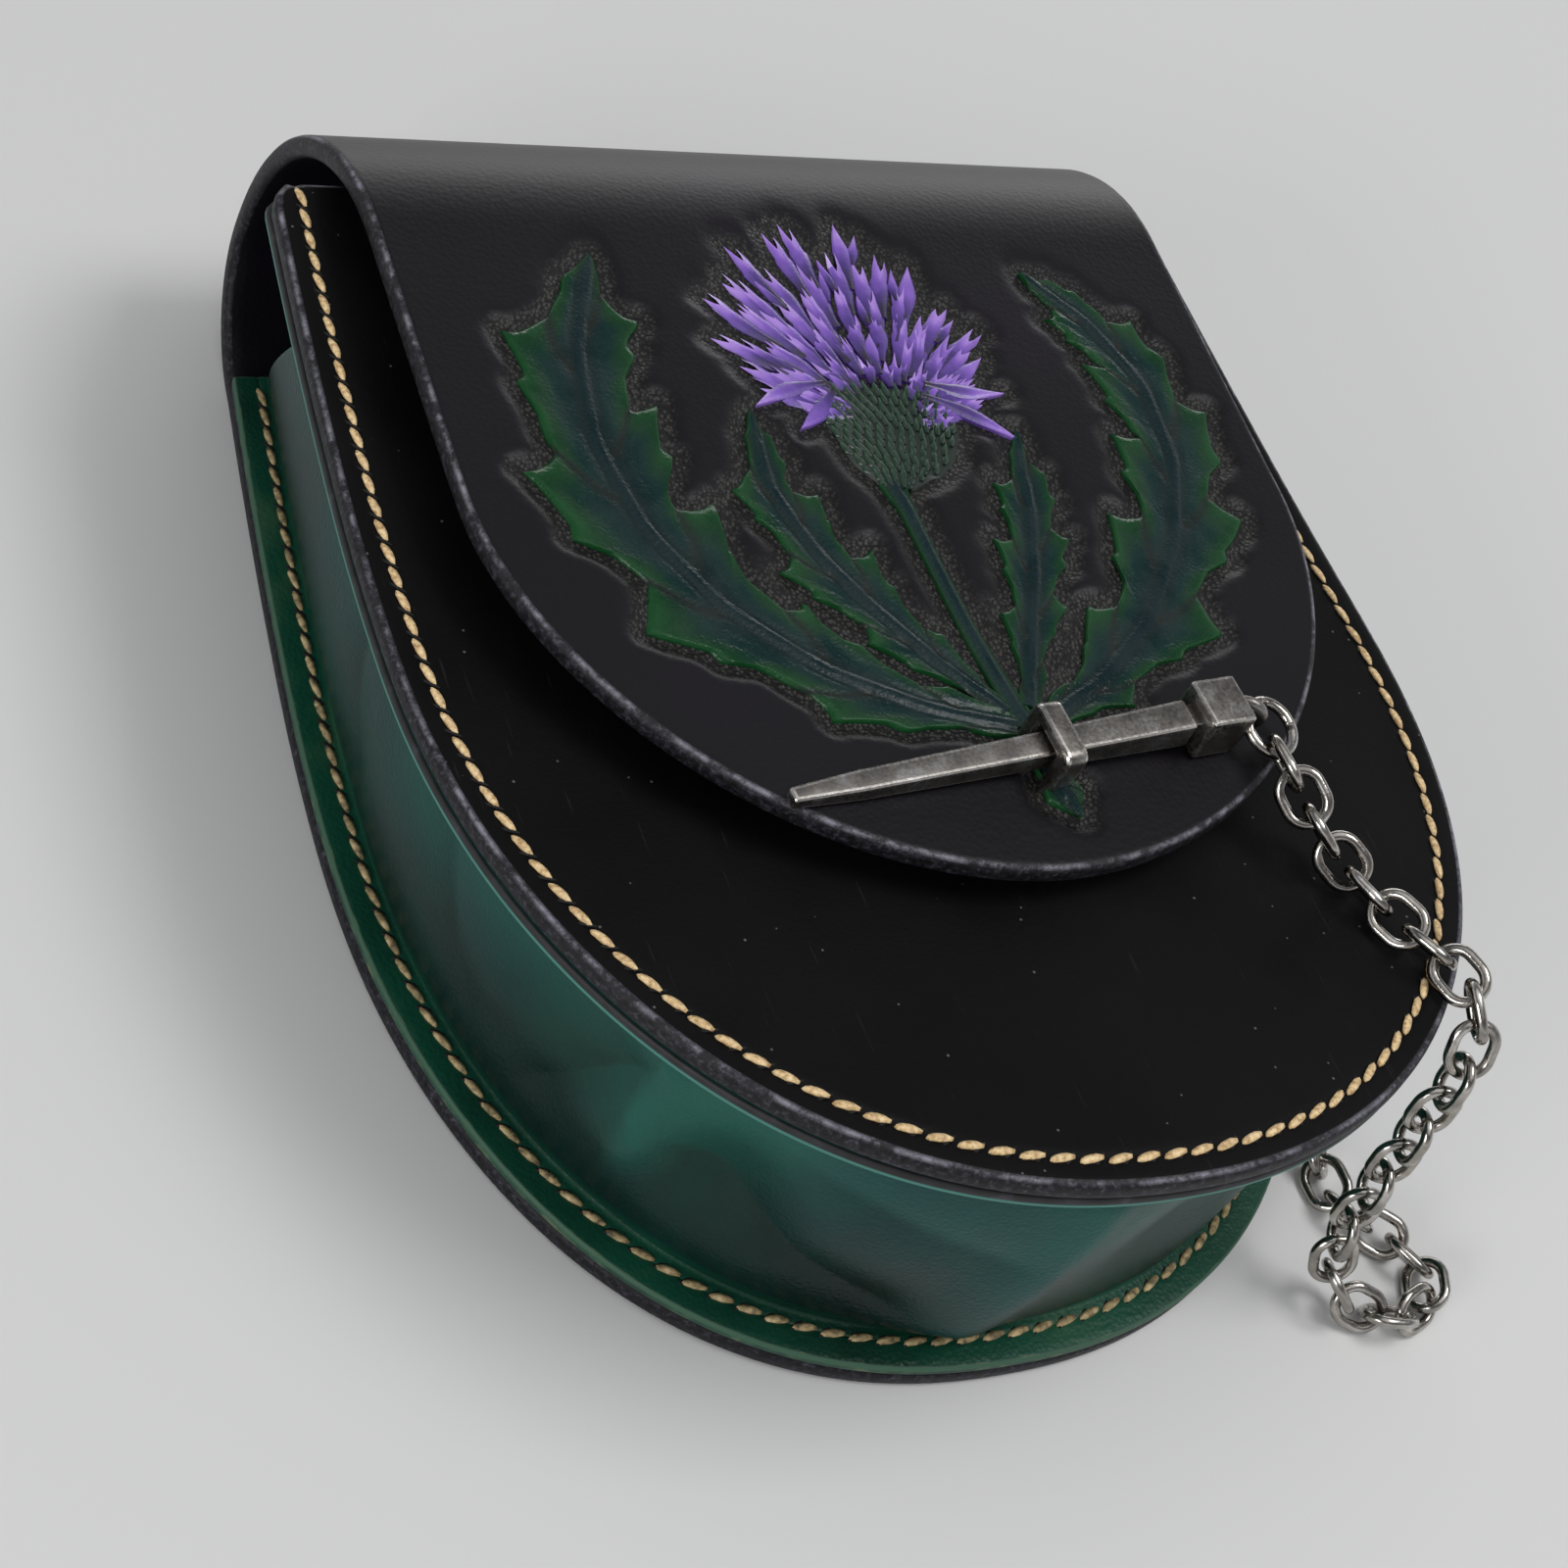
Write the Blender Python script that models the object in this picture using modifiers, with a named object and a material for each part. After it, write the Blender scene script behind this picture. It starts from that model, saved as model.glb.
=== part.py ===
"""Leather sporran pouch lying on its back, with a steel peg, staple and keeper chain.

Metres, +Z up. The pouch's back rests on Z = 0, its rounded bottom points to -Y and the fold of
the flap to +Y. The origin is under the middle of the back, on the line where the pouch is widest.
"""
import math

import bmesh
import bpy
from mathutils import Matrix, Vector

for old in list(bpy.data.objects):
    bpy.data.objects.remove(old, do_unlink=True)

# Leather and the gap that touching pieces keep
BODY_LEATHER = 0.0035
PANEL_LEATHER = 0.0034
GUSSET_LEATHER = 0.0020
GAP = 0.0003

# Back panel, seen from above
BACK_WIDTH = 0.1578
BACK_TOP_WIDTH = 0.1450
BOTTOM_LENGTH = 0.0930
BACK_ROUNDNESS = 2.25

# Front panel
FRONT_WIDTH = 0.1646
FRONT_TOP_WIDTH = 0.1570
FRONT_TOP = 0.0880
FRONT_ROUNDNESS = 2.15
CORNER_RADIUS = 0.0030
FRONT_HEIGHT_BOTTOM = 0.0605
FRONT_HEIGHT_TOP = 0.0546
FRONT_SAG = 0.0036

# The hand-made pouch leans a little to the left above its widest line
LEAN = 0.0022
LEAN_START = -0.060
LEAN_LENGTH = 0.090

# Fold and flap
FOLD_BACK_RADIUS = 0.0220
FOLD_FRONT_RADIUS = 0.0420
FOLD_START = 0.0930
FLAP_WIDTH = 0.1388
FLAP_LENGTH = 0.1200
FLAP_ROUND = 0.0677
FLAP_ROUNDNESS = 1.90

# Gusset
FLANGE = 0.0065
BEND_RADIUS = 0.0030
BELLY = 0.0030
GUSSET_TOP = 0.0940
WALL_TOP_CUT = 0.0300
FLANGE_TOP = 0.0872

# Dents in the gusset's wall: where along the outline (0 at the middle of the bottom, 1 and -1
# at the widest line), how high (share of the wall), half lengths (shares) and depth (metres)
DENTS = (
    # along, height, reach_along, reach_up, depth
    (-0.42, 0.52, 0.14, 0.42, 0.0042),
    (-0.66, 0.70, 0.16, 0.40, 0.0024),
    (0.16, 0.48, 0.20, 0.45, 0.0040),
    (0.55, 0.50, 0.22, 0.45, 0.0026),
)

# Staple: a square hoop on a base plate that the flap covers
STAPLE_X = 0.0018
STAPLE_Y = -0.0290
STAPLE_WIDTH = 0.0038
STAPLE_METAL = 0.0022
STAPLE_SPAN = 0.0096
PLATE_LENGTH = 0.0180
PLATE_WIDTH = 0.0140
PLATE_METAL = 0.0012
SLOT_PLAY = 0.0004

# Peg: a square spike that tapers to the left, with a block for a head
PEG_LENGTH = 0.0740
PEG_TURN = math.radians(5.8)
PEG_TIP = 0.0018
PEG_ROOT = 0.0050
PEG_ALONG = 0.0420
NECK_LENGTH = 0.0010
NECK_THICK = 0.0036
HEAD_LENGTH = 0.0077
HEAD_WIDTH = 0.0080
HEAD_HEIGHT = 0.0083

# Chain
WIRE = 0.0017
LINK_LENGTH = 0.0098
LINK_WIDTH = 0.0078
LINK_PLAY = 0.0005
RING_DIAMETER = 0.0101
EYE_DIAMETER = 0.0069
EYE_REACH = 0.0016
LINK_ROLL = math.radians(45)
FIRST_ROLL = math.radians(56)
RING_FROM_HEAD = (0.0058, -0.0025, -0.00065)
RING_NORMAL = (0.13, -0.20, 0.97)
RING_TO_PEG = (-0.0037, 0.0022, 0.0)
RING_TO_LINK = (0.0, -0.0042, -0.0008)

# Where the chain runs, from the head's ring over the front edge to the table and back: points
# chosen by hand, with the ring's end first
CHAIN_ROUTE = (
    (0.0398, -0.0374, 0.0674),
    (0.0420, -0.0418, 0.0651),
    (0.0456, -0.0456, 0.0617),
    (0.0490, -0.0497, 0.0598),
    (0.0507, -0.0550, 0.0604),
    (0.0532, -0.0605, 0.0610),
    (0.0560, -0.0655, 0.0616),
    (0.0578, -0.0708, 0.0618),
    (0.0584, -0.0752, 0.0598),
    (0.0576, -0.0786, 0.0550),
    (0.0564, -0.0806, 0.0480),
    (0.0556, -0.0822, 0.0390),
    (0.0552, -0.0838, 0.0290),
    (0.0552, -0.0852, 0.0190),
    (0.0557, -0.0868, 0.0125),
    (0.0572, -0.0890, 0.0076),
    (0.0600, -0.0918, 0.0046),
    (0.0645, -0.0944, 0.0033),
    (0.0706, -0.0958, 0.0031),
    (0.0766, -0.0934, 0.0031),
    (0.0780, -0.0880, 0.0031),
    (0.0746, -0.0830, 0.0031),
    (0.0700, -0.0788, 0.0031),
    (0.0672, -0.0740, 0.0031),
    (0.0672, -0.0690, 0.0031),
    (0.0692, -0.0640, 0.0033),
    (0.0718, -0.0582, 0.0036),
    (0.0738, -0.0524, 0.0058),
)
ANCHOR_ALONG = 0.71
ANCHOR_HEIGHT = 0.22
ANCHOR_PLATE = 0.0080
ANCHOR_METAL = 0.0012
ANCHOR_SEAT = 0.0008

# How finely the leather is divided
COLUMNS = 12
ROUND_ROWS = 12
SIDE_ROWS = 5

MODEL = bpy.data.collections.new("Sporran pouch")
CUTTERS = bpy.data.collections.new("Cutters")
bpy.context.scene.collection.children.link(MODEL)
bpy.context.scene.collection.children.link(CUTTERS)


def material(name, color, roughness, metallic=0.0):
    made = bpy.data.materials.new(name)
    made.use_nodes = True
    shader = made.node_tree.nodes["Principled BSDF"]
    shader.inputs["Base Color"].default_value = (*color, 1.0)
    shader.inputs["Roughness"].default_value = roughness
    shader.inputs["Metallic"].default_value = metallic
    return made


FLAP_BLACK = material("flap_black_leather", (0.022, 0.019, 0.028), 0.42)
PANEL_BLACK = material("panel_black_leather", (0.011, 0.011, 0.012), 0.45)
GUSSET_GREEN = material("gusset_green_leather", (0.008, 0.075, 0.065), 0.38)
OLD_STEEL = material("antique_steel", (0.30, 0.28, 0.26), 0.35, 1.0)
CHAIN_STEEL = material("chain_steel", (0.36, 0.35, 0.34), 0.28, 1.0)


def add(name, mesh, finish, place=None, collection=MODEL):
    made = bpy.data.objects.new(name, mesh)
    made.data.materials.append(finish)
    collection.objects.link(made)
    if place is not None:
        made.matrix_world = place
    return made


def mix(low, high, share):
    return low + (high - low) * share


def smooth(share):
    share = min(max(share, 0.0), 1.0)
    return share * share * (3 - 2 * share)


# Outlines: half the widest width, length to the bottom, roundness, half the top width, top
BACK = (BACK_WIDTH / 2, BOTTOM_LENGTH, BACK_ROUNDNESS, BACK_TOP_WIDTH / 2, FOLD_START)
FRONT = (FRONT_WIDTH / 2, BOTTOM_LENGTH, FRONT_ROUNDNESS, FRONT_TOP_WIDTH / 2, FRONT_TOP)


def lean(y):
    return -LEAN * smooth((y - LEAN_START) / LEAN_LENGTH)


def outline_at(outline, along, inset=0.0, top=None):
    """A point of an outline without its lean: along is 0 at the bottom and 1 at the widest
    line, then 2 at the top."""
    half, bottom, power, top_half, full_top = outline
    side = -1 if along < 0 else 1
    along = abs(along)
    if along <= 1:
        turn = along * math.pi / 2
        x = (half - inset) * math.sin(turn) ** (2 / power)
        y = -(bottom - inset) * math.cos(turn) ** (2 / power) if along < 1 else 0.0
        return side * x, y
    y = (along - 1) * (full_top if top is None else top)
    return side * (mix(half, top_half, (y / full_top) ** 1.5) - inset), y


def panel_height(y):
    """Height of the front panel's outer face."""
    share = (y + BOTTOM_LENGTH) / (FRONT_TOP + BOTTOM_LENGTH)
    return mix(FRONT_HEIGHT_BOTTOM, FRONT_HEIGHT_TOP, share) - 4 * FRONT_SAG * share * (1 - share)


def leather(name, rows, thickness, finish):
    """A sheet of leather: its rows of points give one face, and Solidify its thickness."""
    sheet = bmesh.new()
    grid = [[sheet.verts.new(point) for point in row] for row in rows]
    for low, high in zip(grid, grid[1:]):
        for left in range(len(low) - 1):
            sheet.faces.new((low[left], low[left + 1], high[left + 1], high[left]))
    bmesh.ops.remove_doubles(sheet, verts=sheet.verts, dist=1e-6)
    mesh = bpy.data.meshes.new(name)
    sheet.to_mesh(mesh)
    sheet.free()
    made = add(name, mesh, finish)
    wall = made.modifiers.new("thickness", "SOLIDIFY")
    wall.thickness = thickness
    wall.offset = -1
    wall.use_even_offset = True
    mesh.shade_smooth()
    mesh.set_sharp_from_angle(angle=math.radians(40))
    return made


def across(half, y, z):
    """One row of points across a sheet, from left to right."""
    shares = [2 * step / COLUMNS - 1 for step in range(COLUMNS + 1)]
    return [(lean(y) + half * math.sin(share * math.pi / 2), y, z) for share in shares]


FLAP_Z = FOLD_BACK_RADIUS + FOLD_FRONT_RADIUS
FLAP_START = FOLD_START + FOLD_BACK_RADIUS - FOLD_FRONT_RADIUS
FLAP_TIP = FLAP_START - FLAP_LENGTH


def body_rows():
    """Outer face of the back, the fold and the flap, from the back's bottom to the flap's tip."""
    rows = []
    for step in range(ROUND_ROWS + SIDE_ROWS + 1):
        along = step / ROUND_ROWS if step <= ROUND_ROWS else 1 + (step - ROUND_ROWS) / SIDE_ROWS
        half, y = outline_at(BACK, along)
        rows.append(across(half, y, 0.0))
    turns = 2 * ROUND_ROWS
    for step in range(1, turns + 1):
        turn = math.pi * step / turns
        first = turn <= math.pi / 2
        radius = FOLD_BACK_RADIUS if first else FOLD_FRONT_RADIUS
        centre = FOLD_START if first else FLAP_START
        half = mix(BACK_TOP_WIDTH, FLAP_WIDTH, step / turns) / 2
        y = centre + radius * math.sin(turn)
        rows.append(across(half, y, FOLD_BACK_RADIUS - radius * math.cos(turn)))
    straight = FLAP_LENGTH - FLAP_ROUND
    for step in range(1, SIDE_ROWS):
        rows.append(across(FLAP_WIDTH / 2, FLAP_START - straight * step / SIDE_ROWS, FLAP_Z))
    for step in range(ROUND_ROWS + 1):
        turn = math.pi / 2 * (1 - step / ROUND_ROWS)
        half = FLAP_WIDTH / 2 * math.sin(turn) ** (2 / FLAP_ROUNDNESS)
        drop = FLAP_ROUND * math.cos(turn) ** (2 / FLAP_ROUNDNESS) if step else 0.0
        rows.append(across(half, FLAP_START - straight - drop, FLAP_Z))
    return rows[::-1]


def front_panel():
    rows = []
    for step in range(ROUND_ROWS + SIDE_ROWS):
        along = step / ROUND_ROWS if step <= ROUND_ROWS else 1 + (step - ROUND_ROWS) / SIDE_ROWS
        half, y = outline_at(FRONT, along)
        rows.append(across(half, y, panel_height(y)))
    for turn in (0, 30, 60, 90):
        y = FRONT_TOP - CORNER_RADIUS * (1 - math.sin(math.radians(turn)))
        half = FRONT_TOP_WIDTH / 2 - CORNER_RADIUS * (1 - math.cos(math.radians(turn)))
        rows.append(across(half, y, panel_height(y)))
    return leather("front_panel", rows, PANEL_LEATHER, PANEL_BLACK)


def gusset_section():
    """Rows of the gusset's inner face: share from back to front outline, inset, height share,
    top end. Its flanges turn outward and lie on the back and under the front panel."""
    wall = FLANGE + GUSSET_LEATHER
    rows = [(0, 0.0, 0.0, GUSSET_TOP), (0, wall - BEND_RADIUS, 0.0, GUSSET_TOP)]
    for turn in (30, 60, 90):
        inset = wall - BEND_RADIUS * (1 - math.sin(math.radians(turn)))
        rise = BEND_RADIUS * (1 - math.cos(math.radians(turn)))
        rows.append((0, inset, rise, GUSSET_TOP - rise))
    for share in (0.25, 0.5, 0.75):
        belly = BELLY * math.sin(math.pi * share)
        rows.append((share, wall - belly, share, GUSSET_TOP - WALL_TOP_CUT * share))
    wall_top = GUSSET_TOP - WALL_TOP_CUT
    for turn in (90, 60, 30):
        inset = wall - BEND_RADIUS * (1 - math.sin(math.radians(turn)))
        drop = BEND_RADIUS * (1 - math.cos(math.radians(turn)))
        rows.append((1, inset, -drop, mix(wall_top, FLANGE_TOP, (90 - turn) / 120)))
    rows.append((1, wall - BEND_RADIUS, 1.0, mix(wall_top, FLANGE_TOP, 0.75)))
    rows.append((1, 0.0, 1.0, FLANGE_TOP))
    return rows[::-1]


def gusset_height(share, y):
    """Height of a section row: a share of the wall, or a distance from its low or high end."""
    low = BODY_LEATHER + GAP
    high = panel_height(y) - PANEL_LEATHER - GAP
    return mix(low, high, share)


def dent_depth(along, share):
    depth = 0.0
    for dent_along, height, reach, reach_up, deep in DENTS:
        away = math.hypot((along - dent_along) / reach, (share - height) / reach_up)
        depth += deep * smooth(1 - away)
    return depth


def gusset_point(row, along):
    share, inset, rise, top = row
    outline = tuple(mix(low, high, share) for low, high in zip(BACK, FRONT))
    depth = dent_depth(along, share) if 0 < share < 1 else 0.0
    x, y = outline_at(outline, along, inset + depth, top)
    if share in (0, 1) and abs(rise) < 1:
        z = gusset_height(share, y) + rise
    else:
        z = gusset_height(share, y)
    return Vector((x + lean(y), y, z))


def gusset():
    stations = [step / ROUND_ROWS for step in range(ROUND_ROWS + 1)]
    stations += [1 + step / SIDE_ROWS for step in range(1, SIDE_ROWS + 1)]
    stations = [-along for along in reversed(stations[1:])] + stations
    rows = [[gusset_point(row, along) for along in stations] for row in gusset_section()]
    made = leather("gusset", rows, GUSSET_LEATHER, GUSSET_GREEN)
    return made


def block(name, size, place, finish=OLD_STEEL, bevel=0.0, collection=MODEL):
    """A box, centred at its place, with its edges rounded."""
    box = bmesh.new()
    bmesh.ops.create_cube(box, size=1.0, matrix=Matrix.Diagonal((*size, 1.0)))
    mesh = bpy.data.meshes.new(name)
    box.to_mesh(mesh)
    box.free()
    made = add(name, mesh, finish, place, collection)
    if bevel:
        edge = made.modifiers.new("edges", "BEVEL")
        edge.width = bevel
        edge.segments = 1
    return made


def combine(target, other, operation):
    """Join or cut a piece with another, which becomes a hidden guide."""
    for collection in other.users_collection:
        collection.objects.unlink(other)
    CUTTERS.objects.link(other)
    other.hide_render = True
    other.display_type = "WIRE"
    step = target.modifiers.new(other.name, "BOOLEAN")
    step.operation = operation
    step.solver = "EXACT"
    step.object = other


PEG_REST = FLAP_Z + GAP
HEAD_Z = PEG_REST + HEAD_HEIGHT / 2
TIP_Z = PEG_REST + PEG_TIP / 2
PEG_RISE = math.atan2(HEAD_Z - TIP_Z, PEG_LENGTH)
SHAFT_LENGTH = PEG_LENGTH - HEAD_LENGTH - NECK_LENGTH
SHAFT_AT_STAPLE = mix(PEG_TIP, PEG_ROOT, PEG_ALONG / SHAFT_LENGTH)
STAPLE_INNER_TOP = mix(TIP_Z, HEAD_Z, PEG_ALONG / PEG_LENGTH) + SHAFT_AT_STAPLE / 2 + 2 * GAP
PEG_FRAME = (Matrix.Translation((STAPLE_X, STAPLE_Y, mix(TIP_Z, HEAD_Z, PEG_ALONG / PEG_LENGTH)))
             @ Matrix.Rotation(PEG_TURN, 4, "Z") @ Matrix.Rotation(-PEG_RISE, 4, "Y"))


def peg_place(along, up=0.0):
    """A place on the peg's axis, measured from its tip."""
    return PEG_FRAME @ Matrix.Translation((along - PEG_ALONG, 0.0, up))


def flat_peg_place(along):
    """The same place turned level, as the head block stands."""
    point = peg_place(along).translation
    return Matrix.Translation((point.x, point.y, HEAD_Z)) @ Matrix.Rotation(PEG_TURN, 4, "Z")


def peg():
    """Spike, neck, head block and the eye on the head's end, as one solid."""
    shaft = bmesh.new()
    bmesh.ops.create_cone(shaft, segments=4, radius1=PEG_TIP / math.sqrt(2),
                          radius2=PEG_ROOT / math.sqrt(2), depth=SHAFT_LENGTH, cap_ends=True)
    shaft.transform(Matrix.Rotation(math.pi / 2, 4, "Y") @ Matrix.Rotation(math.pi / 4, 4, "Z"))
    mesh = bpy.data.meshes.new("closure_peg")
    shaft.to_mesh(mesh)
    shaft.free()
    made = add("closure_peg", mesh, OLD_STEEL, peg_place(SHAFT_LENGTH / 2))
    edge = made.modifiers.new("edges", "BEVEL")
    edge.width = 0.0003
    edge.segments = 1
    neck = block("peg_neck", (NECK_LENGTH + 0.002, NECK_THICK, NECK_THICK),
                 peg_place(SHAFT_LENGTH + NECK_LENGTH / 2))
    head = block("peg_head", (HEAD_LENGTH, HEAD_WIDTH, HEAD_HEIGHT),
                 flat_peg_place(PEG_LENGTH - HEAD_LENGTH / 2), bevel=0.0004)
    bpy.ops.mesh.primitive_torus_add(major_radius=(EYE_DIAMETER - WIRE) / 2,
                                     minor_radius=WIRE / 2, major_segments=16, minor_segments=6)
    eye = bpy.context.object
    eye.name = "peg_eye"
    eye.matrix_world = eye_place()
    for other in (neck, head, eye):
        combine(made, other, "UNION")
    return made


EYE_RING = (EYE_DIAMETER - WIRE) / 2
HOOK = EYE_RING - WIRE - GAP


def ring_centre():
    """The ring hangs off the middle of the head's end face."""
    return flat_peg_place(PEG_LENGTH).translation + Vector(RING_FROM_HEAD)


def ring_point(reach):
    """A point of the ring's wire on the side of a direction, and the unit direction to it."""
    normal = Vector(RING_NORMAL).normalized()
    out = Vector(reach)
    out = (out - normal * out.dot(normal)).normalized()
    return ring_centre() + out * (RING_DIAMETER - WIRE) / 2, out


def eye_place():
    """The eye stands on the head's end, square to the ring's wire."""
    hook, out = ring_point(RING_TO_PEG)
    across_wire = Vector(RING_NORMAL).cross(out)
    return frame(hook + out * HOOK, -out, across_wire)


def staple():
    """The hoop over the peg and its base plate, which lies on the front panel."""
    plate_z = max(panel_height(STAPLE_Y - PLATE_WIDTH / 2),
                  panel_height(STAPLE_Y + PLATE_WIDTH / 2)) + GAP + PLATE_METAL / 2
    turn = Matrix.Rotation(PEG_TURN, 4, "Z")
    top = STAPLE_INNER_TOP + STAPLE_METAL
    height = top - plate_z
    hoop_place = Matrix.Translation((STAPLE_X, STAPLE_Y, plate_z + height / 2)) @ turn
    made = block("staple", (STAPLE_WIDTH, STAPLE_SPAN, height), hoop_place, bevel=0.0006)
    drop = STAPLE_INNER_TOP - plate_z
    hole_place = Matrix.Translation((STAPLE_X, STAPLE_Y, plate_z + drop / 2 - 0.0005)) @ turn
    hole = block("staple_hole", (2 * STAPLE_WIDTH, STAPLE_SPAN - 2 * STAPLE_METAL, drop + 0.001),
                 hole_place)
    combine(made, hole, "DIFFERENCE")
    plate = block("staple_plate", (PLATE_WIDTH, PLATE_LENGTH, PLATE_METAL),
                  Matrix.Translation((STAPLE_X, STAPLE_Y, plate_z)) @ turn)
    combine(made, plate, "UNION")
    return made


def body():
    """Back, fold and flap in one piece of leather, with the staple's slot in the flap."""
    made = leather("back_and_flap", body_rows(), BODY_LEATHER, FLAP_BLACK)
    turn = Matrix.Rotation(PEG_TURN, 4, "Z")
    slot = block("flap_slot", (STAPLE_WIDTH + 2 * SLOT_PLAY, STAPLE_SPAN + 2 * SLOT_PLAY, 0.012),
                 Matrix.Translation((STAPLE_X, STAPLE_Y, FLAP_Z)) @ turn)
    combine(made, slot, "DIFFERENCE")
    return made


def wire_loop(name, length, width):
    """A closed oval of wire in its own XY plane, with its length along X."""
    round_radius = (width - WIRE) / 2
    straight = (length - width) / 2
    curve = bpy.data.curves.new(name, "CURVE")
    curve.dimensions = "3D"
    curve.bevel_depth = WIRE / 2
    curve.bevel_resolution = 1
    spline = curve.splines.new("POLY")
    points = []
    for side in (1, -1):
        for step in range(6):
            turn = math.radians(-75 + 30 * step)
            reach = straight + round_radius * math.cos(turn)
            points.append((side * reach, side * round_radius * math.sin(turn), 0.0))
    spline.points.add(len(points) - 1)
    for slot, point in zip(spline.points, points):
        slot.co = (*point, 1.0)
    spline.use_cyclic_u = True
    guide = bpy.data.objects.new(name, curve)
    CUTTERS.objects.link(guide)
    bpy.context.view_layer.update()
    mesh = bpy.data.meshes.new_from_object(guide.evaluated_get(
        bpy.context.evaluated_depsgraph_get()))
    bpy.data.objects.remove(guide, do_unlink=True)
    mesh.materials.clear()
    mesh.shade_smooth()
    return mesh


def smooth_route(points, steps=16):
    """A smooth curve through the points."""
    points = [Vector(point) for point in points]
    padded = [2 * points[0] - points[1]] + points + [2 * points[-1] - points[-2]]
    curve = []
    for a, b, c, d in zip(padded, padded[1:], padded[2:], padded[3:]):
        for step in range(steps):
            t = step / steps
            curve.append(0.5 * (2 * b + (c - a) * t + (2 * a - 5 * b + 4 * c - d) * t * t
                                + (3 * b - 3 * c + d - a) * t ** 3))
    return curve + [points[-1]]


def even_points(curve, pitch):
    """Points at equal steps along a curve, at most a pitch apart, with an even number of
    steps, so that the last two links cross as the first two do."""
    lengths = [0.0]
    for a, b in zip(curve, curve[1:]):
        lengths.append(lengths[-1] + (b - a).length)
    count = 2 * math.ceil(lengths[-1] / (2 * pitch))
    found, index = [], 0
    for step in range(count + 1):
        goal = lengths[-1] * step / count
        while index < len(curve) - 2 and lengths[index + 1] < goal:
            index += 1
        share = (goal - lengths[index]) / (lengths[index + 1] - lengths[index])
        found.append(curve[index].lerp(curve[index + 1], min(share, 1.0)))
    return found


def frame(origin, along, normal):
    """A matrix with its X along a direction and its Z as near a normal as can be."""
    x = along.normalized()
    y = normal.cross(x).normalized()
    z = x.cross(y)
    return Matrix.Translation(origin) @ Matrix((x, y, z)).transposed().to_4x4()


def link_place(start, end, number):
    """A link lies between two hooks, rolled to one side and then to the other."""
    along = (end - start).normalized()
    level = Vector((along.x, along.y, 0.0)).length
    side = Vector((0.5, -0.85, 0.0))
    up = Vector((0, 0, 1)) * level - side * min(along.z, 0.0)
    place = frame((start + end) / 2, along, up)
    roll = FIRST_ROLL if number == 1 else LINK_ROLL
    return place @ Matrix.Rotation(-roll if number % 2 else roll, 4, "X")


def anchor_row():
    """The gusset's outer face where the chain's far end is fixed."""
    return (ANCHOR_HEIGHT, FLANGE - BELLY * math.sin(math.pi * ANCHOR_HEIGHT), ANCHOR_HEIGHT,
            GUSSET_TOP)


def anchor_frame():
    here = gusset_point(anchor_row(), ANCHOR_ALONG)
    ahead = gusset_point(anchor_row(), ANCHOR_ALONG + 0.01)
    out = (ahead - here).cross(Vector((0, 0, 1))).normalized()
    return frame(here, out, Vector((0, 0, 1)))


def anchor_eye():
    """The eye's frame: X away from the gusset, Z through the eye, square to the chain."""
    seat = anchor_frame()
    centre = seat @ Vector((ANCHOR_SEAT + ANCHOR_METAL + EYE_REACH, 0, 0))
    out = seat.col[0].to_3d()
    return frame(centre, out, out.cross(Vector(CHAIN_ROUTE[-1]) - centre))


def anchor():
    """A plain stud on the gusset, with an eye for the chain's last link."""
    place = anchor_frame() @ Matrix.Translation((ANCHOR_SEAT + ANCHOR_METAL / 2, 0, 0))
    plate = bmesh.new()
    bmesh.ops.create_cone(plate, segments=20, radius1=ANCHOR_PLATE / 2,
                          radius2=ANCHOR_PLATE / 2, depth=ANCHOR_METAL, cap_ends=True)
    plate.transform(Matrix.Rotation(math.pi / 2, 4, "Y"))
    mesh = bpy.data.meshes.new("chain_anchor")
    plate.to_mesh(mesh)
    plate.free()
    made = add("chain_anchor", mesh, CHAIN_STEEL, place)
    bpy.ops.mesh.primitive_torus_add(major_radius=EYE_RING, minor_radius=WIRE / 2,
                                     major_segments=16, minor_segments=6)
    eye = bpy.context.object
    eye.name = "anchor_eye"
    eye.matrix_world = anchor_eye()
    combine(made, eye, "UNION")
    return made


def chain():
    """The ring in the peg's eye, and the links from it to the anchor."""
    ring = wire_loop("chain_ring", RING_DIAMETER, RING_DIAMETER)
    add("chain_ring", ring, CHAIN_STEEL,
        frame(ring_centre(), Vector(RING_TO_LINK), Vector(RING_NORMAL)))
    low, out = ring_point(RING_TO_LINK)
    first = low - out * (WIRE + LINK_PLAY) / 2
    eye = anchor_eye()
    fall = (Vector(CHAIN_ROUTE[-1]) - eye.translation).normalized()
    last = eye.translation + fall * (HOOK + (WIRE + LINK_PLAY) / 2)
    pitch = LINK_LENGTH - 2 * WIRE - LINK_PLAY
    hooks = even_points(smooth_route((first,) + CHAIN_ROUTE + (last,)), pitch)
    mesh = wire_loop("chain_link", LINK_LENGTH, LINK_WIDTH)
    mesh.materials.append(CHAIN_STEEL)
    for number, (start, end) in enumerate(zip(hooks, hooks[1:]), 1):
        link = bpy.data.objects.new(f"chain_link_{number:02d}", mesh)
        MODEL.objects.link(link)
        link.matrix_world = link_place(start, end, number)
        if number == len(hooks) - 1:
            link.matrix_world = frame((start + end) / 2, end - start,
                                      (end - start).cross(eye.col[2].to_3d()))


body()
front_panel()
gusset()
staple()
peg()
anchor()
chain()
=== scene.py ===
"""Sporran pouch: an oval leather belt pouch with a green gusset, a tooled flap and a peg clasp
on a chain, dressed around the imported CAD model. Lengths are in metres."""

import math
import random

import bmesh
import bpy
import numpy as np
from mathutils import Matrix, Vector, kdtree, noise


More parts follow.
